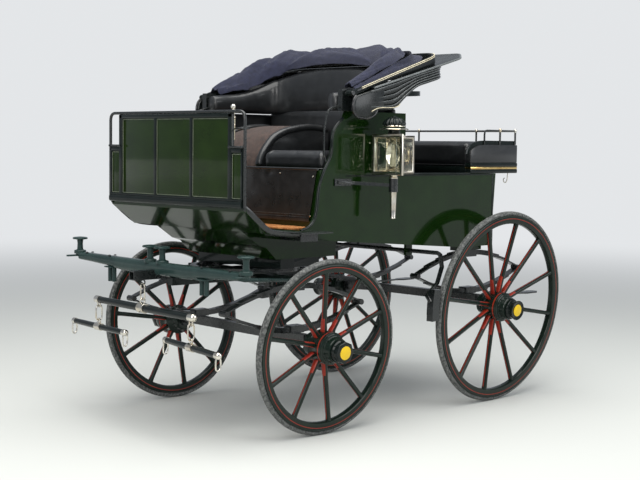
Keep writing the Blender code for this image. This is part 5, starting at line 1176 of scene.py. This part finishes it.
for z in (1.1085, 1.121):
    for number in range(74):
        share = -1 + 2 * (number + 0.5) / 74
        x = share * (fall_half(z) - 0.022)
        stitch_rows.append(block((x - 0.0042, FALL_FACE - 0.0006, z - 0.0007),
                                 (x + 0.0042, FALL_FACE + 0.0024, z + 0.0007), 0))
on_carriage("seat_fall_lip", lip, SEAT_LEATHER, 60)
keep("seat_fall_stitches", moved(joined(*stitch_rows), CARRIAGE), STITCH, "carriage")
STUD_SPOTS = ((0.5, 1.322), (0.482, 1.115), (0.25, 1.334))
studs = [((side * x, FALL_FACE + 0.001, z), (0, -1, 0)) for side in SIDES for x, z in STUD_SPOTS]
on_carriage("seat_fall_studs", bolts(studs, 0.0042, 0.0024), NICKEL, 30)

mat = bmesh.new()
bmesh.ops.create_grid(mat, x_segments=150, y_segments=60, size=1.0)
for corner in mat.verts:
    u = corner.co.x
    v = (corner.co.y + 1) / 2
    y = -0.326 + v * (0.03 + 0.326)
    floor_z = 1.0475 + max(0.0, -0.1 - y) * 0.0851
    edge = 0.003 * noise.noise(Vector((u * 40, v * 30, 2.0)))
    tuft = 0.0022 * noise.noise(Vector((u * 90, v * 60, 7.0)))
    tuft += 0.0016 * noise.noise(Vector((u * 23, v * 17, 1.0)))
    corner.co = Vector((u * (0.489 + edge), y, floor_z + 0.0105 + tuft))
bmesh.ops.solidify(mat, geom=mat.faces[:], thickness=0.008)
on_carriage("coir_mat", tidy(mat), COIR, 80, "floor_mat")
print("stitches along the fall:", len(stitch_rows))

# %% [markdown]
# ## Folded hood
# The hood turns on one pin at each side. Its stiff front flap lies flat on top of the folded leather, and the
# front bow lies on the flap inside a leather sleeve with two cream pipings. The blue lining is drawn together
# over the seat's back. It hangs in two lengths: one stays on the seat, and one goes up with the front bow.
# The flap and the sleeve are laid out in the flap's own plane, and turned by the angle at which it is folded.

# %% Hood flap, sleeve and pipings
PIVOT_Y = 0.19
PIVOT_Z = 1.755
FLAP_TURN = math.radians(15.4)
BOW_RISE = math.radians(18.6 - 15.4)
FLAP_PLANE = CARRIAGE @ Matrix.Translation((0, PIVOT_Y, PIVOT_Z)) @ Matrix.Rotation(FLAP_TURN, 4, "X")
FLAP_EDGE = 0.655
FLAP_END = 1.0
BOW_SIDE = 0.612
BOW_END = 0.745
SLEEVE_TOP = 0.0155

FLAP_CORNERS = [(-FLAP_EDGE + 0.004, 0.14, 0), (-FLAP_EDGE, 0.5, 0), (-FLAP_EDGE, 0.86, 0),
                (-FLAP_EDGE + 0.115, FLAP_END, 0)]
rim_line = [(spot.x * 0.9925, spot.y - max(0.0, (spot.y - 0.86) / 0.14) * 0.004)
            for spot in rounded(mirrored(FLAP_CORNERS), 0.1, 7)]
flap_inside = mirrored([(0.618, 0.14), (0.618, 0.4), (0.58, 0.43), (0.58, 0.64), (0.51, 0.7095)])
flap = board(rim_line + flap_inside, -0.0095, -0.0008, "Z", 0.002)
keep("flap", moved(flap, FLAP_PLANE), HOOD_LEATHER, "hood_front", 30, ["hood_flap"])
# The flap's rolled edge is given pale leather: a painted highlight along the edge.
flap_highlight_edge = tube([(x, y, -0.005) for x, y in rim_line], 0.0056, 12)
keep("flap_highlight_edge", moved(flap_highlight_edge, FLAP_PLANE), LEATHER_EDGE_HIGHLIGHT, "hood_front", 60)


def bow_path(side, end, start, corner):
    even = rounded(mirrored([(-side, start, 0), (-side, end, 0)]), corner, 10)
    spots = [even[0]]
    for spot in even[1:]:
        gap = (spot - spots[-1]).length
        for number in range(1, int(gap / 0.05) + 1):
            spots.append(spots[-1].lerp(spot, 1 / (int(gap / 0.05) + 2 - number)))
        spots.append(spot)
    return spots


sleeve_path = bow_path(BOW_SIDE, BOW_END, 0.04, 0.13)
stations = []
for number, spot in enumerate(sleeve_path):
    before, after = beside(sleeve_path, number)
    along = (after - before).normalized()
    middle = spot.y * math.tan(BOW_RISE)
    high = middle + SLEEVE_TOP
    low = min(0.0008, middle - 0.0145)
    ends = tapered(number, len(sleeve_path), 0.6, 6)
    across = along.cross(Vector((0, 0, 1))) * 0.0088 * ends
    stations.append(((spot.x, spot.y, (high + low) / 2), across, (0, 0, (high - low) / 2 * ends)))
sleeve = lofted(stations, 20, 2.6)
keep("bow_sleeve", moved(sleeve, FLAP_PLANE), HOOD_LEATHER, "hood_front", 60)
cream_lines = []
for drop in (0.0045, 0.0125):
    line = bow_path(BOW_SIDE + 0.0083, BOW_END + 0.0083, 0.075, 0.138)
    line = [(spot.x, spot.y, spot.y * math.tan(BOW_RISE) + SLEEVE_TOP - drop) for spot in line]
    cream_lines.append(tube(line, 0.0021, 8))
keep("bow_pipings", moved(joined(*cream_lines), FLAP_PLANE), CREAM_PIPING, "hood_front", 60)
print("stations round the front bow:", len(stations))

# %% [markdown]
# The lining is laid out by rows of points: the hem over the seat's back, the crest, and the line where it
# leaves the seat. Folds are smooth waves that run aslant over the cloth, with ten large ones over the crest.
# Both sheets keep clear of the space that the bows sweep as the hood goes up: no point may cross its edge.

# %% Blue lining
CLOTH_THICKNESS = 0.0026
LINING_HEM = [(0.516, 0.236, 1.79), (0.486, 0.31, 1.797), (0.47, 0.41, 1.812), (0.458, 0.51, 1.846),
              (0.424, 0.58, 1.886), (0.335, 0.63, 1.922), (0.18, 0.646, 1.946)]
LINING_FRONT = [(0.526, 0.232, 1.808), (0.502, 0.306, 1.832), (0.49, 0.408, 1.862), (0.48, 0.516, 1.91),
                (0.442, 0.6, 1.958), (0.345, 0.646, 1.99), (0.185, 0.664, 2.004)]
LINING_CREST = [(0.556, 0.228, 1.812), (0.552, 0.302, 1.856), (0.546, 0.412, 1.912), (0.53, 0.546, 1.98),
                (0.482, 0.662, 2.026), (0.372, 0.71, 2.04), (0.19, 0.724, 2.042)]
LINING_LEAVE = [(0.582, 0.226, 1.79), (0.582, 0.31, 1.826), (0.582, 0.43, 1.876), (0.574, 0.58, 1.942),
                (0.52, 0.7, 1.994), (0.4, 0.742, 2.012), (0.2, 0.748, 2.018)]
LINING_BOW = [(0.602, 0.232, 1.777), (0.602, 0.33, 1.808), (0.602, 0.45, 1.85), (0.602, 0.61, 1.904),
              (0.576, 0.77, 1.958), (0.47, 0.868, 1.994), (0.24, 0.884, 2.0)]


def whole(half, middle):
    return flowing(mirrored(half, [middle]), 8)


# The space inside the bows: its half width, its reach from the pivot, and the bend of its corners.
BOW_INSIDE = 0.5825
BOW_REACH = 0.6165
BOW_BEND = 0.126
# Where each large fold crosses the crest, from one end (-1) to the other (1), then its width, slant and height.
LARGE_FOLDS = ((-0.66, 0.06, -0.1, 0.35), (-0.42, 0.03, -0.15, -0.6), (-0.24, 0.032, 0.45, 0.4),
               (-0.12, 0.026, 0.4, -0.45), (0.1, 0.034, -0.3, 0.4), (0.19, 0.024, -0.3, -0.6),
               (0.36, 0.05, -0.25, 0.5), (0.5, 0.026, -0.35, -0.55), (0.6, 0.034, -0.4, 0.35),
               (0.74, 0.022, -0.4, -0.45))


def fold_depth(along, across, place):
    slant = along * 0.62 - across * 2.4
    large = noise.noise(Vector((slant, across * 0.8, 4.0)))
    middle = noise.noise(Vector((slant * 3.1, across * 1.0, 9.0)))
    small = noise.noise(Vector((slant * 5.5, across * 2.0, 2.0)))
    deep = sum(height * math.exp(-((place - middle_at - slope * (across - 0.6)) / wide) ** 2)
               for middle_at, wide, slope, height in LARGE_FOLDS)
    return 0.26 * (1 - abs(large) * 2.6) + 0.22 * (1 - abs(middle) * 2.6) + 0.07 * small + deep


def inside_bows(spot):
    # How far a point lies outside the round-cornered space that the bows pass round, seen from the pivot.
    reach = math.hypot(spot.y - PIVOT_Y, spot.z - PIVOT_Z)
    dx = abs(spot.x) - (BOW_INSIDE - BOW_BEND)
    dr = reach - (BOW_REACH - BOW_BEND)
    away = math.hypot(max(dx, 0.0), max(dr, 0.0))
    return min(max(dx, dr), 0.0) + away - BOW_BEND, dx, dr, away, reach


def held_to(spot, limit, outward):
    depth, dx, dr, away, reach = inside_bows(spot)
    miss = limit - depth if outward else depth - limit
    if miss <= 0 or away == 0:
        return spot
    sign = 1 if outward else -1
    side = math.copysign(1, spot.x)
    push_x = sign * miss * max(dx, 0.0) / away
    push_r = sign * miss * max(dr, 0.0) / away
    scale = (reach + push_r) / reach
    return Vector((spot.x + side * push_x, PIVOT_Y + (spot.y - PIVOT_Y) * scale,
                   PIVOT_Z + (spot.z - PIVOT_Z) * scale))


def cloth(rows, rings, deep, hold):
    count = len(rows[0])
    sheet = bmesh.new()
    bmesh.ops.create_grid(sheet, x_segments=count - 1, y_segments=rings, size=1.0)
    for corner in sheet.verts:
        along = round((corner.co.x + 1) / 2 * (count - 1))
        part = (corner.co.y + 1) / 2
        run = part * (len(rows) - 1)
        first = min(int(run), len(rows) - 2)
        share = run - first
        p0 = rows[max(first - 1, 0)][along]
        p1 = rows[first][along]
        p2 = rows[first + 1][along]
        p3 = rows[min(first + 2, len(rows) - 1)][along]
        spot = 0.5 * (2 * p1 + (p2 - p0) * share + (2 * p0 - 5 * p1 + 4 * p2 - p3) * share ** 2
                      + (3 * p1 - p0 - 3 * p2 + p3) * share ** 3)
        out = Vector((0, 0.25, 1)) + Vector((spot.x * 0.5, 0, 0))
        depth = fold_depth(along * 0.085, part, 2 * along / (count - 1) - 1) - 0.35
        strength = deep * (0.25 + 0.75 * math.sin(math.pi * min(1.0, 0.12 + part * 0.76)))
        spot = spot + out.normalized() * strength * depth
        corner.co = hold(spot)
    bmesh.ops.smooth_vert(sheet, verts=sheet.verts[:], factor=0.4, use_axis_x=True, use_axis_y=True,
                          use_axis_z=True)
    for corner in sheet.verts:
        corner.co = hold(corner.co)
    bmesh.ops.recalc_face_normals(sheet, faces=sheet.faces[:])
    return sheet


rows = [whole(LINING_HEM, (0, 0.648, 1.952)), whole(LINING_FRONT, (0, 0.668, 2.01)),
        whole(LINING_CREST, (0, 0.722, 2.048)), whole(LINING_LEAVE, (0, 0.748, 2.022))]
seat_cloth = cloth(rows, 30, 0.04, lambda spot: held_to(spot, -0.0045, False))
seat_lining = on_carriage("lining_on_seat", seat_cloth, NAVY_CLOTH, 80, "hood_lining")
bow_rows = [whole([(x * 1.004, y + 0.001, z) for x, y, z in LINING_LEAVE], (0, 0.749, 2.022)),
            whole(LINING_BOW, (0, 0.886, 2.002))]
bow_cloth = cloth(bow_rows, 14, 0.014, lambda spot: held_to(spot, 0.0035, True))
bow_lining = keep("lining_on_bow", moved(bow_cloth, CARRIAGE), NAVY_CLOTH, "hood_front", 80)
for lining in (seat_lining, bow_lining):
    body = lining.modifiers.new("thickness", "SOLIDIFY")
    body.thickness = CLOTH_THICKNESS
    body.offset = 0.0
print("lining length in mm:", round(sum((b - a).length for a, b in zip(rows[2], rows[2][1:])) * 1000))

# %% [markdown]
# Under the flap lies the hood leather, folded in pleats like a fan. Each pleat is a flattened roll with a pale
# edge, a painted highlight where the rolled leather catches the light. The side curtain hangs before them: a
# flat piece with a rolled edge.

# %% Folded leather and side curtains
PLEATS = [(0.638, 0.3, 1.672, 0.013, 0.0), (0.638, 0.4, 1.673, 0.014, 0.0), (0.638, 0.49, 1.686, 0.014, 0.0),
          (0.638, 0.57, 1.744, 0.014, 0.0), (0.638, 0.66, 1.802, 0.015, 0.0),
          (0.636, 0.75, 1.829, 0.016, 0.3), (0.614, 0.85, 1.852, 0.02, 0.7),
          (0.558, 0.918, 1.869, 0.024, 1.0), (0.448, 0.946, 1.88, 0.028, 1.0)]
PLEAT_COUNT = 5


def beneath_flap(y):
    return PIVOT_Z + (y - PIVOT_Y) * math.tan(FLAP_TURN) - 0.0125


pleat_line = mirrored(PLEATS, [(0.0, 0.952, 1.884, 0.03, 1.0)])
pleat_run = flowing([(x, y, 0) for x, y, *_ in pleat_line], 6)
low_run = flowing([form for x, y, *form in pleat_line], 6)
pleats = []
pleat_highlight_edges = []
for number in range(PLEAT_COUNT):
    stations = []
    edge = []
    for spot_number, spot in enumerate(pleat_run):
        low, half, back = low_run[spot_number]
        high = beneath_flap(spot.y - back * half)
        step = (high - low) / PLEAT_COUNT
        before, after = beside(pleat_run, spot_number)
        along = (after - before).normalized()
        across = along.cross(Vector((0, 0, 1)))
        if across.dot(Vector((spot.x, spot.y - 0.5, 0))) < 0:
            across = -across
        wave = 0.22 * noise.noise(Vector((spot_number * 0.11, number * 3.7, 1.0)))
        shift = (0.1 * math.sin(number * 2.1) + wave * 0.4) * half
        middle = Vector((spot.x, spot.y, low + (number + 0.5) * step)) + across * shift
        wide = half * (0.86 - 0.12 * (number % 2))
        stations.append((middle, across * wide, (0, 0, step * 0.53)))
        # Each pleat's outer top edge gets a thin pale line: a painted highlight.
        edge.append(middle + across * (wide - 0.0006) + Vector((0, 0, step * 0.3)))
    pleats.append(lofted(stations, 14, 2.3))
    pleat_highlight_edges.append(tube(edge, 0.0021, 6))
on_carriage("hood_pleats", pleats, HOOD_LEATHER, 60, "hood_folds")
on_carriage("pleat_highlight_edges", pleat_highlight_edges, LEATHER_EDGE_HIGHLIGHT, 60)

CURTAIN = [(0.196, 1.742), (0.18, 1.722), (0.172, 1.69), (0.18, 1.658), (0.204, 1.636), (0.245, 1.628),
           (0.292, 1.63), (0.332, 1.646), (0.352, 1.672), (0.4, 1.674), (0.4, 1.8)]
curtains = []
rims = []
for side in SIDES:
    curtains.append(board(CURTAIN, *sorted((side * 0.6255, side * 0.65)), "X", 0.008))
    rim = flowing([(side * 0.64, y, z) for y, z in CURTAIN[:9]], 5)
    rims.append(tube(rim, 0.0078, 12))
on_carriage("side_curtains", curtains, HOOD_LEATHER, 60)
on_carriage("curtain_rims", rims, GLOSS_LEATHER, 60)
PIPE_LINE = ((0.6525, 0.3, 1.664), (0.653, 0.36, 1.684), (0.653, 0.48, 1.69), (0.653, 0.52, 1.708))
curtain_pipe = [tube(flowing([(side * x, y, z) for x, y, z in PIPE_LINE], 5), 0.0022, 8) for side in SIDES]
on_carriage("curtain_pipings", curtain_pipe, CREAM_PIPING, 60)
print("pleats:", len(pleats), "pale edges:", len(pleat_highlight_edges))

# %% [markdown]
# ## Grooms' seat and mouldings
# The grooms' seat is a leather-covered box on two black mouldings with a gold line between them. Beads, half
# sunk in the wood, cover the joints of the body's panels; they catch the light as thin bright lines.

# %% Grooms' seat
SEAT_FRONT = 1.2505
SEAT_REAR = 1.6945
ARM_LINE = ((1.2515, 1.44), (1.256, 1.456), (1.278, 1.474), (1.325, 1.492), (1.385, 1.4985), (1.5, 1.499),
            (1.6935, 1.499))
arm_run = flowing([(0, y, z) for y, z in ARM_LINE], 5)
arm_top = [(spot.y, spot.z) for spot in arm_run]
arms = []
lids = []
bands = []
gold = []
for side in SIDES:
    arms.append(board(arm_top + [(1.6935, 1.392), (1.2515, 1.392)], *sorted((side * 0.505, side * 0.548)),
                      "X", 0.004))
    lids.append(tube([(side * 0.527, y, z + 0.0005) for y, z in arm_top], 0.005, 10, flat=5.0, power=3.0))
    for bottom, top in ((1.3306, 1.356), (1.368, 1.3925)):
        bands.append(side_block(side, 0.504, 0.5515, (SEAT_FRONT, bottom), (SEAT_REAR, top), 0.006, 4))
    gold.append(side_block(side, 0.506, 0.5492, (SEAT_FRONT + 0.002, 1.3555), (SEAT_REAR - 0.002, 1.3685),
                           0.001))
bands.append(block((-0.5045, 1.2545, 1.3306), (0.5045, 1.6905, 1.3698), 0.003))
bands.append(block((-0.5405, 1.671, 1.34), (0.5405, 1.6905, 1.4955), 0.004))
on_carriage("groom_arms", arms, SEAT_LEATHER, 50, "rear_seat_frame")
on_carriage("groom_lids", lids, CARRIAGE_BLACK, 60)
on_carriage("groom_bands", bands, CARRIAGE_BLACK, 40)
on_carriage("gold_lines", gold, BRASS, 30)
rail_studs = []
for x, y in ((0.236, 1.685), (-0.236, 1.685), (0.536, 1.685), (-0.536, 1.685), (0.536, 1.5375),
             (-0.536, 1.5375)):
    stud = turned([(1.575, 0), (1.575, 0.0072), (1.58, 0.0086), (1.589, 0.0092), (1.593, 0.0076),
                   (1.5965, 0.005), (1.5975, 0)], 20)
    rail_studs.append(moved(upright(stud), at(x, y, 0)))
on_carriage("rail_studs", rail_studs, NICKEL, 40)
HOOK_LINE = ((1.668, 1.331), (1.664, 1.31), (1.662, 1.29), (1.65, 1.274), (1.632, 1.276), (1.626, 1.292),
             (1.636, 1.3))
tail_hooks = [tube(flowing([(side * 0.5, y, z) for y, z in HOOK_LINE], 6), 0.0032, 10) for side in SIDES]
on_carriage("tail_hooks", tail_hooks, NICKEL, 60)
print("arms:", len(arms), "studs:", len(rail_studs))

# %% Beads on the body
BEAD_SPOTS = ((0.198, 1.628), (0.125, 1.554), (0.113, 1.44), (0.06, 1.347), (0.028, 1.267), (0.008, 1.13),
              (-0.03, 1.072), (-0.1, 1.046))
bead_path = flowing([(0, y, z) for y, z in BEAD_SPOTS], 8)
beads = []
caps = []
for side in SIDES:
    beads.append(tube([(side * 0.543, spot.y, spot.z) for spot in bead_path], 0.008, 12))
    beads.append(tube([(side * 0.5485, y, 1.325) for y in (0.215, 0.5, 0.9, 1.2, 1.455)], 0.004, 10))
    caps.append(side_block(side, 0.5255, 0.553, (0.685, 1.329), (1.248, 1.337), 0.0035, 3))
    caps.append(side_block(side, 0.547, 0.552, (1.452, 0.98), (1.464, 1.322), 0.002, 2))
on_carriage("body_beads", beads, CARRIAGE_BLACK, 60)
on_carriage("wall_caps", caps, CARRIAGE_BLACK, 40)
print("points on the front bead:", len(bead_path))

# %% [markdown]
# ## Swingletrees and splinter bar
# A swingletree is turned ash, painted black, with nickel ferrules at the ends and a nickel band with the eye.
# It is thickest in the middle. The splinter bar is a painted beam with four turned roller bolts for the traces.

# %% Swingletrees
RING_RADIUS = 0.014
RING_WIRE = 0.0039


def ferrule(half, length, radius, way):
    ends = [(half - length, 0), (half - length, radius * 0.98), (half - length + 0.002, radius),
            (half - 0.006, radius), (half - 0.002, radius * 0.88), (half + 0.003, radius * 0.55),
            (half + 0.0042, 0)]
    return turned([(way * x, r) for x, r in ends], 32)


def collar_band(radius, wide):
    half = [(-wide, 0), (-wide, radius * 0.94), (-wide + 0.002, radius), (-wide + 0.01, radius),
            (-wide + 0.012, radius * 0.965)]
    return turned(mirrored(half), 32)


def ring_at(middle, plane):
    spots = []
    for number in range(24):
        turn = math.tau * number / 24
        wide, high = RING_RADIUS * math.cos(turn), RING_RADIUS * math.sin(turn)
        spots.append((0, wide, high) if plane == "YZ" else (wide, 0, high))
    up = (1, 0, 0) if plane == "YZ" else (0, 1, 0)
    return moved(tube(spots, RING_WIRE, 12, closed=True, up=up), at(*middle))


def tree(name, place, half, radius, band, cap, body, eye_plane, extra):
    wood = [(-half + 0.004, 0), (-half + 0.004, radius * 0.84)]
    for number in range(13):
        share = -1 + 2 * number / 12
        wood.append((share * (half - 0.006), radius * (0.995 - 0.135 * abs(share) ** 2.2)))
    wood += [(half - 0.004, radius * 0.84), (half - 0.004, 0)]
    keep(name + "_wood", moved(turned(wood, 32), place), CARRIAGE_BLACK, body, 40, [name])
    metal = [collar_band(band, 0.03), ring_at((0, 0, band + 0.01), eye_plane)]
    for way in SIDES:
        metal.append(ferrule(half, cap, radius * 0.86 + 0.0028, way))
    keep(name + "_metal", moved(joined(*metal, *extra), place), NICKEL, body, 40)


TRACE_HOOK = ((0.0105, -0.006), (0.013, -0.024), (0.0135, -0.046), (0.0075, -0.0665), (-0.002, -0.0715),
              (-0.011, -0.0645), (-0.013, -0.046), (-0.0125, -0.024), (-0.01, -0.006))


def trace_hook(x):
    return tube(flowing([(x, y, z) for y, z in TRACE_HOOK], 5), 0.004, 10, up=(1, 0, 0))


def level(spot, along):
    # A place on a body that lies turned about z only.
    return at(*spot) @ Matrix.Rotation(math.atan2(*along), 4, "Z")


MAIN_PLACE = level((-0.03491, -1.24869, 0.638), (-0.094108, 0.995562))
LEFT_PLACE = level((0.41509, -1.29122, 0.49), (-0.214735, 0.976672))
RIGHT_PLACE = level((-0.4849, -1.20615, 0.49), (-0.120137, 0.992757))
MAIN_HALF = 0.483
hangers = [ring_at((way * 0.452, 0, -0.027), "XZ") for way in SIDES]
tree("main_swingletree", MAIN_PLACE, MAIN_HALF, 0.02, 0.0265, 0.045, "main_swingletree", "YZ", hangers)
for name, place in (("swingletree_left", LEFT_PLACE), ("swingletree_right", RIGHT_PLACE)):
    tree(name, place, 0.3, 0.0165, 0.0208, 0.034, name, "XZ", [trace_hook(way * 0.288) for way in SIDES])
print("main tree length in mm:", round(2000 * MAIN_HALF))

# %% Splinter bar
BAR_Y = -0.584
BAR_TOP = 0.875
BAR_LOW = 0.8056
BAR_DEEP = BAR_TOP - BAR_LOW
BAR_FORM = mirrored([(-0.728, 0.042), (-0.6, 0.0465), (-0.43, 0.0555), (-0.3, 0.07), (-0.2, BAR_DEEP)])
bar_stations = [((x, BAR_Y, BAR_TOP - tall / 2), (0, 0.0275, 0), (0, 0, tall / 2)) for x, tall in BAR_FORM]
bar_parts = [lofted(bar_stations, 28, 3.2)]
SPOOL = [(0.865, 0), (0.865, 0.0335), (0.88, 0.0335), (0.883, 0.031), (0.885, 0.0215), (0.889, 0.017),
         (0.92, 0.0152), (0.939, 0.0172), (0.943, 0.023), (0.945, 0.04), (0.948, 0.042), (0.952, 0.0418),
         (0.9555, 0.037), (0.957, 0.026), (0.957, 0.012), (0.9585, 0.009), (0.9585, 0)]
BAR_LUG = ((0.7, -0.022), (0.765, -0.022), (0.774, 0.0), (0.765, 0.022), (0.7, 0.022))
BAR_TONGUE = ((0.739, 0.0), (0.767, 0.0), (0.766, -0.072), (0.762, -0.083), (0.753, -0.088), (0.744, -0.083),
              (0.74, -0.072))
BAR_POST = [(0.735, 0), (0.735, 0.0105), (0.7365, 0.012), (0.832, 0.012), (0.835, 0)]
for side in SIDES:
    for x in (0.753, 0.055):
        bar_parts.append(moved(upright(turned(SPOOL, 40)), at(side * x, BAR_Y, 0)))
    for outline, low, high, width in ((BAR_LUG, 0.026, 0.002, 0.003), (BAR_TONGUE, 0.0245, 0.0155, 0.002)):
        outline = [(side * x, BAR_Y + y) for x, y in outline]
        bar_parts.append(board(outline, BAR_TOP - low, BAR_TOP - high, "Z", width))
    for offset in (-0.02, 0.02):
        bar_parts.append(moved(upright(turned(BAR_POST, 24)), at(side * 0.42 + offset, BAR_Y, 0)))
    bar_parts.append(block((side * 0.42 - 0.036, BAR_Y - 0.03, 0.811),
                           (side * 0.42 + 0.036, BAR_Y + 0.03, 0.8185), 0.002))
    stay = [(side * 0.693, BAR_Y + 0.005, BAR_TOP - 0.034), (side * 0.668, BAR_Y + 0.06, BAR_TOP - 0.045),
            (side * 0.458, -0.075, BAR_LOW - 0.0203), (side * 0.458, -0.0455, BAR_LOW - 0.0203)]
    bar_parts.append(tube(rounded(stay, 0.03, 5), 0.0075, 12, flat=1.4, power=2.6))
keep("splinter_beam", moved(joined(*bar_parts), FORE), BAR_GREEN, "fore_carriage", 35, ["splinter_bar"])
nuts = [((side * x, BAR_Y + way * 0.018, BAR_TOP + 0.0002), (0, 0, 1))
        for side in SIDES for x in (0.42, 0.65) for way in (-1, 1)]
keep("bar_nuts", moved(bolts(nuts, 0.007, 0.005), FORE), BLACK_IRON, "fore_carriage", 30)
print("bar parts:", len(bar_parts), "bolt heads:", len(nuts))

# %% [markdown]
# ## Closing

# %% Close the notebook
import json
